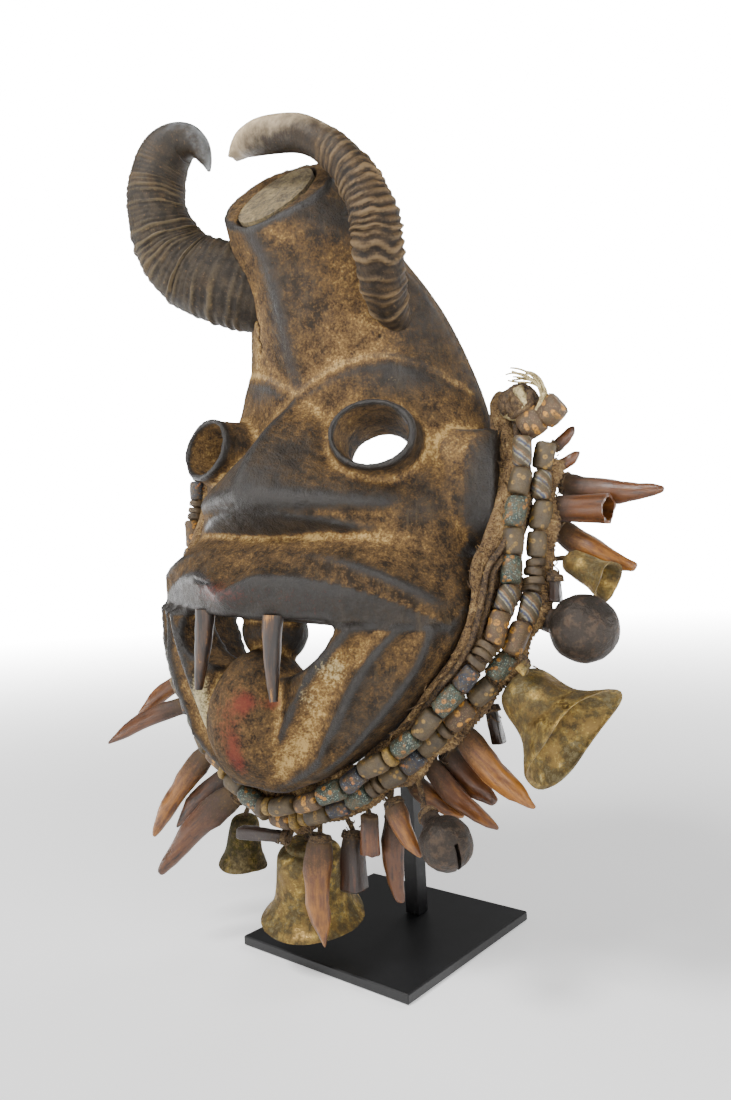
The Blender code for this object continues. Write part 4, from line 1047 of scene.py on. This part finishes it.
def beadFinish(kind, look):
    # powder glass, fired dull, its pattern half hidden under brown dust
    finish, tree, shader, coords = newFinish(kind + "GlassBead", 0.62)
    local = addNode(tree, "Attribute", output="Vector", attribute_name="beadPlace")
    fine, speck, middle = makeGrains(tree, coords, 0.8, 2.0, 6.0)
    colour = layColours(tree, look["body"][0], (middle, 0.35, 0.65, 1.0, look["body"][1]))
    if "stripes" in look:
        parts = {axis: addNode(tree, "SeparateXYZ", {0: local}, axis) for axis in "XYZ"}
        angle = addNode(tree, "Math", {0: parts["Y"], 1: parts["X"]}, operation="ARCTAN2")
        phase = weigh(tree, (angle, 1.5 / pi), (parts["Z"], 0.75), (speck, 0.25))
        phase = addNode(tree, "Math", {0: phase}, operation="FRACT")
        white, blue, rust = look["stripes"]
        colour = layColours(tree, colour, (phase, 0.28, 0.33, 0.9, white), (phase, 0.43, 0.48, 0.95, blue),
                            (phase, 0.62, 0.67, 0.9, white), (phase, 0.74, 0.79, 0.9, rust),
                            (phase, 0.92, 0.96, 1.0, look["body"][1]))
    for key in ("dot", "eye"):
        if key in look:
            tint, spacing, size = look[key]
            cells = addNode(tree, "TexVoronoi", {"Vector": local, "Scale": spacing}, "Distance")
            near = weigh(tree, (cells, -1.0), (fine, 0.12))
            colour = layColours(tree, colour, (near, -size - 0.05, -size + 0.07, 0.95, tint))
            if key == "eye":
                colour = layColours(tree, colour, (near, -0.11, -0.03, 0.8, "#4a3018"))
    dirt = weigh(tree, (fine, 0.6), (speck, 0.6), (middle, 0.5))
    colour = layColours(tree, colour, (dirt, 0.74, 0.96, 0.85, "#42341d"), (dirt, 0.94, 1.15, 0.8, "#705a33"))
    finishSurface(tree, shader, colour, dirt, 0.5, 0.6)
    return finish


def makeBead(kind, look):
    # one bead, upright at the origin, a little swollen, with rounded lips
    half, r = look["length"] / 2, look["radius"]
    steps = [(z * half, r * k, r * k, 0.0) for z, k in ((-1.0, 0.6), (-0.97, 0.8), (-0.85, 0.94), (-0.4, 1.0),
                                                        (0.4, 1.0), (0.85, 0.94), (0.97, 0.8), (1.0, 0.6))]
    bead = drawOut(kind, steps, 14)
    roughen(bead, (0.6, 7, half), (0.3, 2.5, 3.0))
    points, _, _ = readMesh(bead)
    setPlaces(bead, "beadPlace", points / mm / r)
    return dress(bead, beadFinish(kind, look))


def makeBeads(cord):
    masters = {kind: makeBead(kind, look) for kind, look in beadKinds.items()}
    for name, order in beadOrder.items():
        places = routes[name][1]
        place, i, parts = places[-1], 0, []
        while place > places[0] + 6:
            kind = order[i % len(order)]
            length = beadKinds[kind]["length"] * random.uniform(0.94, 1.06)
            at, along, outward = routeAt(name, place - length / 2)
            at = at + outward * random.uniform(-0.7, 0.7) + Vector((0, random.uniform(-0.8, 0.8), 0))
            lean = scatter(0.16)
            turn = aimed(along + lean)
            grow = length / beadKinds[kind]["length"]
            parts.append(copyPiece(masters[kind], Matrix.Translation(at * mm) @ turn
                                   @ Matrix.Rotation(random.uniform(0, 2 * pi), 4, "Z")
                                   @ Matrix.Diagonal((random.uniform(0.94, 1.04), random.uniform(0.94, 1.04),
                                                      grow * 0.97, 1))))
            place -= length + 0.35
            i += 1
        if name == "outer":
            for at, aim, grow in swollenBeads:
                turn = aimed(Vector(aim))
                parts.append(copyPiece(masters["orange"], Matrix.Translation(Vector(at) * mm) @ turn
                                       @ Matrix.Diagonal((grow, grow * 1.1, 0.75, 1))))
        steps = [(*(routeAt(name, p)[0] + Vector((0, 1.6, 0))), 2.9 + 0.5 * sin(p))
                 for p in np.linspace(places[0] + 1, places[-1] - 1, 140)]
        parts.append(dress(tubeAlong("strandCord", steps, 10, 420, twisted(90)), cord))
        finishPiece(joinPieces("bead_strand_" + name, parts), ["bead_strand_" + name], 50)
        print(name, "strand of", i, "beads")
    for bead in masters.values():
        bpy.data.objects.remove(bead)


hangings = {   # place along the outer strand, out and back from it, lean, reach forward, length, width
    "tooth_01": (222, 0, 9, -48, 2, 13, 6), "tooth_02": (214, 1, 8, -30, 2, 13, 6),
    "tooth_03": (208, 1, 17, 5, -2, 44, 11), "horn_tube": (197, 3, 10, 2, -4, 24, 12),
    "tooth_04": (189, 0, 19, 26, 0, 38, 12), "bell_01": (176, 8, 12, 26, -2, 21, 18),
    "block_01": (170, 8, 2, 88, 0, 12, 7), "ball_01": (149, 1, 12, 2, -6, 22, 27),
    "bell_02": (123, 6, 10, 5, -4, 32, 46), "bead_01": (137, 11, -7, 100, 0, 5, 6),
    "tooth_05": (93, 0, 10, -8, -4, 45, 13), "tooth_06": (77, 1, 20, -8, 2, 31, 12),
    "tooth_07": (70, 0, 14, -17, 0, 42, 10), "tooth_08": (58, 4, 17, -29, 2, 27, 10),
    "block_02": (108, 2, 14, 38, 0, 17, 8), "ball_02": (67, 19, 0, -18, -6, 17, 21),
    "tooth_09": (54, 7, 4, -3, -2, 26, 10), "tooth_10": (46, 11, 15, 27, -2, 39, 11),
    "tube_02": (41, 8, 5, 30, 0, 17, 9), "block_03": (27, 11, 10, 20, -2, 26, 15),
    "tooth_11": (17, 8, 2, 12, -6, 47, 13), "bell_03": (0, 14, 17, 4, 6, 36, 50),
    "bell_04": (-32, 26, 16, -22, 2, 25, 25), "peg_01": (2, 8, 1, 91, 0, 32, 7),
    "tooth_12": (-104, 3, 10, -1, -14, 44, 10), "tooth_13": (-88, 6, 6, 15, -22, 56, 10),
    "tooth_14": (-62, 9, 6, -8, -14, 57, 12), "tooth_15": (-47, 10, 14, 8, -14, 46, 12),
    "tooth_16": (-33, 8, 4, 11, -18, 58, 14), "tooth_17": (-224, -14, 20, -32, 2, 26, 8),
    "tooth_18": (-206, 2, 14, 10, 16, 30, 8), "tooth_19": (-192, 2, 13, -8, 18, 26, 9),
    "bell_05": (-172, 3, 16, 5, 18, 22, 20), "tooth_20": (-156, 2, 12, 12, 16, 30, 9),
    "ball_03": (-138, 3, 16, 0, 20, 19, 20), "tooth_21": (-121, 2, 14, 10, 16, 28, 9),
    "block_04": (-76, 3, 16, 5, 10, 20, 9),
}


def hangAt(name):
    # where a hanging's root is and how it points: x across, y to the back, z out to its tip
    place, out, back, lean, forward, length, width = hangings[name]
    point, along, outward = routeAt("outer", place)
    flat = Vector((along.x, 0, along.z)).normalized()
    root = point + outward * out + Vector((0, back, 0))
    aim = outward * cos(radians(lean)) - flat * sin(radians(lean))
    direction = (aim * sqrt(max(length**2 - forward**2, 1)) + Vector((0, forward, 0))).normalized()
    up, across = squareTo(direction)
    turn = Matrix((across, -up, direction)).transposed().to_4x4()
    turn.translation = root * mm
    return turn, root, direction, length, width


def hangPiece(piece, name, turn, finish):
    piece.data.transform(turn)
    finishPiece(dress(piece, finish), [name], 50)


toothLook = {"tones": ("#21130b", "#553116", "#8f5c1f"), "sides": 14,
             "blunt": ("tooth_04", "tooth_06", "tooth_10")}


def toothFinish():
    # old teeth and horn points stained by smoke and palm oil: orange brown, dark at the root
    finish, tree, shader, coords = newFinish("smokedTooth", 0.38)
    along, tone = [addNode(tree, "Attribute", output="Fac", attribute_name=key) for key in ("along", "tone")]
    local = addNode(tree, "Attribute", output="Vector", attribute_name="toothPlace")
    streak, = makeGrains(tree, addNode(tree, "Mapping", {"Vector": local, "Scale": (1.0, 1.0, 0.1)}), 1.6)
    fine, middle = makeGrains(tree, coords, 1.0, 5.0)
    stain = weigh(tree, (streak, 1.0), (tone, 0.5), (middle, 0.5))
    root = weigh(tree, (along, -1.0), (middle, 0.5), (fine, 0.4))
    dark, body, bright = toothLook["tones"]
    colour = layColours(tree, dark, (stain, 0.62, 0.98, 1.0, body), (stain, 0.98, 1.35, 0.9, bright),
                        (streak, 0.6, 0.75, 0.4, "#3a1710"), (root, -0.1, 0.35, 0.9, "#271c12"),
                        (root, 0.2, 0.5, 0.7, "#574227"), (fine, 0.6, 0.75, 0.4, "#7d6137"))
    finishSurface(tree, shader, colour, weigh(tree, (streak, 0.8), (fine, 0.4)), 0.5, 0.6,
                  {"Roughness": (root, -0.1, 0.4, 0.34, 0.85)})
    return finish


def markAlong(piece, length, tone):
    points, _, _ = readMesh(piece)
    setValues(piece, "along", np.clip(points[:, 2] / mm / length, 0, 1))
    setValues(piece, "tone", np.full(len(points), tone))
    setPlaces(piece, "toothPlace", points + tone * 0.37)


def makeTooth(name, finish):
    turn, _, _, length, width = hangAt(name)
    tip = 0.34 if name in toothLook["blunt"] else 0.13
    profile = ((0.0, 0.5), (0.04, 0.78), (0.14, 1.0), (0.32, 1.04), (0.52, 0.96), (0.7, 0.82), (0.85, 0.6),
               (0.95, tip + 0.16), (1.0, tip))
    steps = [(length * t, width / 2 * k, width / 2.5 * k, 0.06 * length * sin(pi * t)) for t, k in profile]
    tooth = drawOut(name, steps, toothLook["sides"])
    applyModifier(tooth, "SUBSURF", levels=1, render_levels=1)
    seed = random.uniform(0, 50)
    roughen(tooth, (0.1 * width, width * 1.3, seed), (0.05 * width, width * 0.5, seed + 5))
    markAlong(tooth, length, random.uniform(0, 1))
    hangPiece(tooth, name, turn, finish)


bellProfiles = {   # height and radius as shares of the bell's, outside and then inside
    "bell_02": ((0.0, 0.08), (0.02, 0.3), (0.1, 0.44), (0.24, 0.52), (0.45, 0.57), (0.62, 0.64), (0.76, 0.76),
                (0.88, 0.9), (0.96, 0.985), (1.0, 1.0)),
    "bell_03": ((0.0, 0.1), (0.0, 0.36), (0.05, 0.42), (0.09, 0.40), (0.12, 0.50), (0.16, 0.58), (0.24, 0.61),
                (0.5, 0.64), (0.72, 0.7), (0.86, 0.8), (0.95, 0.93), (1.0, 1.0)),
    "bell": ((0.0, 0.1), (0.02, 0.34), (0.1, 0.52), (0.25, 0.6), (0.5, 0.66), (0.75, 0.76), (0.9, 0.9),
             (1.0, 1.0)),
}


bellShape = {"wall": 1.4, "sides": 48, "steps": 22, "dent": 0.04,
             "dents": {"bell_02": 0.075, "bell_03": 0.03, "bell_01": 0.06}}


def brassFinish(name, metalTone, dirtShare):
    # cast brass gone brown in its skin, with bright patches that are partly rubbed spots and partly painted
    # highlights, and black dirt in the hollows
    finish, tree, shader, coords = newFinish(name, 0.45, 1.0)
    fine, speck, middle, large = makeGrains(tree, coords, 0.8, 2.2, 6.0, 15.0)
    dirt = weigh(tree, (speck, 0.5), (middle, 0.8), (large, 0.7), (fine, 0.3))
    bright = weigh(tree, (speck, 0.6), (fine, 0.4), (large, 0.7))
    # the two bright layers are rubbed metal and painted highlights together
    colour = layColours(tree, metalTone, (bright, 0.78, 0.92, 0.85, "#b89c55"),
                        (bright, 0.9, 1.02, 0.9, "#f0dc9c"),
                        (dirt, dirtShare, dirtShare + 0.2, 0.85, "#2f2718"),
                        (fine, 0.6, 0.75, 0.4, "#3f3a22"))
    finishSurface(tree, shader, colour, dirt, 0.7, 0.6,
                  {"Roughness": (dirt, dirtShare - 0.15, dirtShare + 0.15, 0.36, 0.8),
                   "Metallic": (dirt, dirtShare, dirtShare + 0.2, 1.0, 0.35)})
    return finish


def makeBell(name, finish):
    turn, _, _, length, width = hangAt(name)
    knots = bellProfiles.get(name, bellProfiles["bell"])
    outside = [curvePoint(knots, i / bellShape["steps"]) for i in range(bellShape["steps"] + 1)]
    wall = bellShape["wall"]
    steps = [(length * t, width / 2 * k, width / 2 * k, 0.0) for t, k in outside]
    for t, k in reversed(outside[3:]):
        steps.append((max(length * t, 2 * wall) - (0.3 if t > 0.99 else 0), max(width / 2 * k - wall, 0.6),
                      max(width / 2 * k - wall, 0.6), 0.0))
    bell = drawOut(name, steps, bellShape["sides"])
    points, _, _ = readMesh(bell)
    dent = bellShape["dents"].get(name, bellShape["dent"])
    angle, share = np.arctan2(points[:, 1], points[:, 0]), points[:, 2] / (length * mm)
    bulge = np.sin(2 * angle + width) + 0.7 * np.sin(3 * angle + length) + 0.4 * np.sin(5 * angle)
    points[:, :2] *= (1 + dent * bulge * share**3)[:, None]
    points[:, 2] *= 1 + 0.7 * dent * (np.sin(angle + 1) + 0.6 * np.sin(3 * angle)) * share**4
    bell.data.vertices.foreach_set("co", points.reshape(-1))
    roughen(bell, (0.012 * width, width * 0.35, len(name) + width), (0.22, 3.0, 9.0))
    markAlong(bell, length, 0.5)
    hangPiece(bell, name, turn, finish)


def ironFinish():
    # forged iron, pitted, its rust oiled down to brown black
    finish, tree, shader, coords = newFinish("oiledIron", 0.5, 0.75)
    fine, speck, middle, large = makeGrains(tree, coords, 0.9, 2.4, 6.0, 14.0)
    level = weigh(tree, (speck, 0.6), (middle, 0.6), (large, 0.4))
    colour = layColours(tree, "#37312c", (level, 0.78, 0.92, 0.8, "#57493d"),
                        (speck, 0.6, 0.75, 0.7, "#4b3324"))
    finishSurface(tree, shader, colour, weigh(tree, (speck, 1.0), (fine, 0.4), (middle, 0.5)), 0.9, 0.8,
                  {"Roughness": (level, 0.6, 1.0, 0.36, 0.7)})
    return finish


ballShape = {"neck": 0.42, "rings": 26, "sides": 40, "slitted": "ball_02", "slit": 1.5}


def makeBall(name, finish):
    turn, _, _, length, width = hangAt(name)
    r = width / 2
    steps = [(0.0, r * 0.3, r * 0.3, 0.0), (0.5, r * 0.34, r * 0.34, 0.0)]
    steps += [(length + r * cos(a), r * sin(a), r * sin(a), 0.0)
              for a in np.linspace(pi - ballShape["neck"], 0.02, ballShape["rings"])]
    ball = drawOut(name, steps, ballShape["sides"])
    if name == ballShape["slitted"]:
        # the slit that lets this one ring
        deselect()
        bpy.ops.mesh.primitive_cube_add(size=1, location=(0, 0, (length + r) * mm))
        slit = bpy.context.object
        slit.data.transform(Matrix.Translation((0, 0, (length + r * 0.9) * mm)) @ Matrix.Rotation(0.5, 4, "Z")
                            @ Matrix.Diagonal((1.5 * r * mm, ballShape["slit"] * mm, r * mm, 1)))
        slit.location = (0, 0, 0)
        combine(ball, slit, "DIFFERENCE")
    roughen(ball, (0.35, 7, width), (0.25, 2.6, 4.0))
    hangPiece(ball, name, turn, finish)


def makeBlock(name, finish):
    # a piece sawn from horn or bone, wider at its foot, with its corners rubbed round
    turn, _, _, length, width = hangAt(name)
    steps = [(length * t, width * 0.6 * k, width * 0.48 * k, 0.0)
             for t, k in ((0.0, 0.55), (0.12, 0.8), (0.4, 0.88), (0.7, 0.95), (0.94, 1.0), (1.0, 0.86))]
    block = drawOut(name, steps, 4)
    block.data.transform(Matrix.Rotation(pi / 4, 4, "Z"))
    applyModifier(block, "BEVEL", width=0.12 * width * mm, segments=2)
    applyModifier(block, "SUBSURF", levels=2, render_levels=2)
    roughen(block, (0.05 * width, width * 0.8, len(name) + length), (0.02 * width, width * 0.3, 2.0))
    markAlong(block, length, random.uniform(-0.7, 0.1))
    hangPiece(block, name, turn, finish)


def makeTube(name, finish):
    # a length cut from a hollow horn, its far end open and ragged
    turn, _, _, length, width = hangAt(name)
    r, wall = width / 2, 1.2
    outside = [(length * t, r * k)
               for t, k in ((0.0, 0.7), (0.04, 0.9), (0.3, 0.93), (0.6, 0.97), (1.0, 1.02))]
    steps = [(z, k, k * 0.87, 0.0) for z, k in outside]
    steps += [(z, r - wall, (r - wall) * 0.85, 0.0) for z in (length, length * 0.7, length * 0.36)]
    tube = drawOut(name, steps, 28)
    applyModifier(tube, "SUBSURF", levels=1, render_levels=1, subdivision_type="SIMPLE")
    points, _, _ = readMesh(tube)
    far = points[:, 2] > length * 0.9 * mm
    ragged = np.array([1.1 * grain(p[0] / mm, p[1] / mm, 0, 3.0, 2.0) for p in points])
    points[:, 2] += np.where(far, ragged * mm, 0)
    tube.data.vertices.foreach_set("co", points.reshape(-1))
    roughen(tube, (0.3, 5, 1.0), (0.15, 2, 7.0))
    markAlong(tube, length, 0.35)
    hangPiece(tube, name, turn, finish)


tieShape = {"turns": 3, "loopSteps": 30, "coil": 2.6, "loopRadius": 0.65, "bandSteps": 120, "hairs": 260,
            "bands": (("outer", 1.4), ("inner", -2.6)), "bandBack": 5.5}


def makeTies(cord, fibre):
    # a few turns of cord about each hanging's root, the cord that ties it up to the collar,
    # bands of fibre behind the two strands, and loose fibres
    ties = []
    for name in hangings:
        _, root, direction, _, width = hangAt(name)
        point, _, outward = routeAt("outer", hangings[name][0] + random.uniform(-3, 3))
        solid = name.startswith(("tooth", "block", "peg"))
        reach = min(width * 0.42, 5.0) if solid else min(width * 0.2, 4.0)
        start = point - outward * 3 + Vector((0, 6, 0))
        middle = start.lerp(root, 0.5) + Vector((random.uniform(-1, 1), 1.5, random.uniform(-1, 1)))
        inside = root + direction * 2.5
        ties.append(tubeAlong("tie", ((*start, 1.0), (*middle, 1.1), (*root, 1.2), (*inside, 0.9)), 7, 40,
                              twisted(8)))
        up, across = squareTo(direction)
        loops = []
        for i in range(tieShape["loopSteps"] + 1):
            share = i / tieShape["loopSteps"]
            a = 2 * pi * share * tieShape["turns"]
            level = 0.8 + tieShape["coil"] * share + random.uniform(-0.15, 0.15)
            loops.append((*(root + direction * level + (across * cos(a) + up * (0.85 * sin(a)))
                            * reach * mix(0.8, 1.04, min(level / 3, 1))), tieShape["loopRadius"]))
        ties.append(tubeAlong("tie", loops, 6, 90, twisted(20)))
    bands = []
    for name, out in tieShape["bands"]:
        places = routes[name][1]
        band = []
        for p in np.linspace(places[0] + 8, places[-1] - 8, tieShape["bandSteps"]):
            at, _, outward = routeAt(name, p)
            band.append((*(at + outward * (out + 0.8 * sin(0.3 * p)) + Vector((0, tieShape["bandBack"], 0))),
                         4.0 + 0.9 * sin(0.21 * p)))
        bands.append(dress(tubeAlong("band", band, 14, 520, twisted(110, 0.3)), fibre))
    for _ in range(tieShape["hairs"]):
        _, root, direction, *_ = hangAt(random.choice(list(hangings)))
        at = root + direction * random.uniform(-3, 5) + scatter(3.5)
        end = at + scatter(4)
        bend = at.lerp(end, 0.5) + scatter(1.5)
        ties.append(tubeAlong("tie", ((*at, 0.28), (*bend, 0.36), (*end, 0.16)), 5, 6))
    for tie in ties:
        dress(tie, cord)
    finishPiece(joinPieces("hangingTies", ties + bands), smooth=60)


tuftShape = {
    "path": ((98.0, -27.0, 79.0), (102.5, -26.5, 84.0), (105.0, -26.0, 89.0), (103.5, -25.5, 94.5),
             (98.5, -25.0, 98.5), (92.0, -24.0, 100.5), (86.0, -23.0, 101.5)),
    "strands": 12, "knot": (92.0, -22.0, 89.0), "knotSize": (8.0, 5.0, 6.6), "core": (6.5, 4.2, 5.6),
    "loops": 11,
    "ends": (((92, -24, 80), (88, -24, 55)), ((96, -24, 80), (96, -27, 62)), ((90, -21, 84), (82, -15, 88))),
}


def makeTuft(cream, dusty):
    # the frayed end of the cord that stands up from its knot
    t = tuftShape
    strands = []
    for k in range(t["strands"]):
        lean = scatter(1)
        last = random.uniform(0.72, 1.0)
        steps = []
        for i in range(15):
            s = i / 14 * last
            x, y, z = curvePoint(t["path"], s)
            spread = mix(0.8, 3.2, s**1.5)
            curl = 0.9 * s
            steps.append((x + lean.x * spread + curl * sin(9 * s + k), y + lean.y * spread,
                          z + lean.z * spread * 0.8 + curl * cos(11 * s + 2 * k), mix(0.75, 0.3, s)))
        strands.append(dress(tubeAlong("strand", steps, 6, 60, twisted(14, 0.25)), cream))
    knot = [dress(ovalForm("lump", t["knot"], t["core"]), dusty)]
    roughen(knot[0], (1.2, 5, 2.0), (0.8, 2.2, 6.0))
    for k in range(t["loops"]):
        turn = (Matrix.Rotation(random.uniform(0, pi), 3, "Y")
                @ Matrix.Rotation(random.uniform(-0.9, 0.9), 3, "X"))
        size = random.uniform(0.55, 0.95)
        loop = []
        for i in range(25):
            a = 2 * pi * i / 24
            p = turn @ Vector((cos(a), 0.5 * sin(2 * a), sin(a))) * size
            loop.append((*(Vector(t["knot"]) + Vector([c * r for c, r in zip(p, t["knotSize"])])), 1.7))
        knot.append(dress(tubeAlong("loop", loop, 10, 80, twisted(12)), cream if k % 4 == 1 else dusty))
    for start, end in t["ends"]:
        middle = [mix(a, b, 0.5) + 1.5 for a, b in zip(start, end)]
        knot.append(dress(tubeAlong("loop", ((*start, 1.5), (*middle, 1.4), (*end, 1.3)), 8, 50,
                                    twisted(10)), dusty))
    finishPiece(joinPieces("cord_tuft", strands + knot), ["cord_tuft"], 60)


def makeStand():
    # steel plate and rod under satin black paint, with a little orange peel in it
    paint, tree, shader, coords = newFinish("satinBlackPaint", 0.42)
    peel, cloud = makeGrains(tree, coords, 0.9, 14.0, detail=2.0)
    colour = layColours(tree, "#0b0b0c", (cloud, 0.3, 0.7, 1.0, "#111113"))
    finishSurface(tree, shader, colour, peel, 0.12, 0.3)
    for name in ("base_plate", "stand_rod"):
        dress(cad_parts[name], paint)


studio = {"eye": (0.26296, -0.31957, 0.17566), "yaw": 39.76, "pitch": 2.44, "roll": -2.73, "lens": 26.33,
          "ambient": 0.2, "backdrop": 18.0, "floorGlow": (0.5, 18.0), "glowReach": (0.2, 4.2),
          "floorSize": 14, "target": (0, -0.04, 0.2),
          "lamps": (("keyLamp", (-0.15, -0.95, 1.2), 24, 0.4), ("sideLamp", (1.1, -0.45, 0.8), 6.5, 0.6),
                    ("leftLamp", (-1.0, -0.6, 0.9), 1.5, 0.7), ("backLamp", (0.1, 1.0, 1.1), 7, 0.9))}


def makeStudio():
    deselect()
    data = bpy.data.cameras.new("camera")
    camera = bpy.data.objects.new("camera", data)
    bpy.context.scene.collection.objects.link(camera)
    data.sensor_fit = "VERTICAL"
    data.sensor_height = 36
    data.lens = studio["lens"]
    data.clip_start = 0.01
    camera.matrix_world = (Matrix.Translation(studio["eye"]) @ Matrix.Rotation(radians(studio["yaw"]), 4, "Z")
                           @ Matrix.Rotation(radians(90 + studio["pitch"]), 4, "X")
                           @ Matrix.Rotation(radians(studio["roll"]), 4, "Z"))
    bpy.context.scene.camera = camera
    bpy.ops.mesh.primitive_plane_add(size=studio["floorSize"])
    floor = bpy.context.object
    floor.name = "floor"
    floor.data.transform(Matrix.Translation((0, 0, -0.0002)))
    paper, tree, shader, coords = newFinish("whitePaper", 0.9)
    shader.inputs["Base Color"].default_value = linearColour("#fafafa")
    shader.inputs["Emission Color"].default_value = (1, 1, 1, 1)
    away = addNode(tree, "VectorMath", {0: coords}, "Value", operation="LENGTH")
    (near, far), (low, high) = studio["glowReach"], studio["floorGlow"]
    glow = addNode(tree, "MapRange", {"Value": away, "From Min": near, "From Max": far, "To Min": low,
                                      "To Max": high}, interpolation_type="SMOOTHSTEP")
    tree.links.new(glow, shader.inputs["Emission Strength"])
    dress(floor, paper)
    world = bpy.data.worlds.new("whiteStudio")
    bpy.context.scene.world = world
    world.use_nodes = True
    tree = world.node_tree
    # the backdrop is bright to the camera and soft to everything else
    white = (1, 1, 1, 1)
    soft = tree.nodes["Background"]
    soft.inputs["Color"].default_value = white
    soft.inputs["Strength"].default_value = studio["ambient"]
    bright = addNode(tree, "Background", {"Color": white, "Strength": studio["backdrop"]})
    seen = addNode(tree, "LightPath", output="Is Camera Ray")
    choose = addNode(tree, "MixShader", {0: seen, 1: soft.outputs[0], 2: bright})
    tree.links.new(choose, tree.nodes["World Output"].inputs[0])
    for name, place, energy, size in studio["lamps"]:
        bpy.ops.object.light_add(type="AREA", location=place)
        lamp = bpy.context.object
        lamp.name = name
        lamp.data.energy = energy
        lamp.data.size = size
        aim = Vector(studio["target"]) - Vector(place)
        lamp.rotation_euler = aim.to_track_quat("-Z", "Y").to_euler()


makeStudio()
makeStand()
print("stand and studio ready")
makeMask(makeWood())
makePlug()
print("mask ready")
makeHorn("horn_left")
makeHorn("horn_right", broken=True)
makeTusks()
print("horns and tusks ready")
fibre = fibreFinish()
brownCord = cordFinish("brownCord", "#1f1710", "#503d26", "#846d46")
creamCord = cordFinish("creamCord", "#6b5c3c", "#a8986c", "#d2c79e")
makeCollar(fibre, brownCord)
makeBeads(brownCord)
makeTuft(creamCord, brownCord)
print("collar, beads and knot ready")
tooth = toothFinish()
goldBrass = brassFinish("rubbedBrassPaintedHighlights", "#77613a", 1.04)
greenBrass = brassFinish("darkBrass", "#45401f", 0.98)
iron = ironFinish()
for name in hangings:
    if name.startswith("tooth"):
        makeTooth(name, tooth)
    elif name.startswith("bell"):
        makeBell(name, greenBrass if name == "bell_04" else goldBrass)
    elif name.startswith("ball"):
        makeBall(name, iron)
    elif name.startswith(("horn", "tube")):
        makeTube(name, tooth)
    else:
        makeBlock(name, goldBrass if name == "bead_01" else tooth)
makeTies(brownCord, fibre)
print("hangings ready")
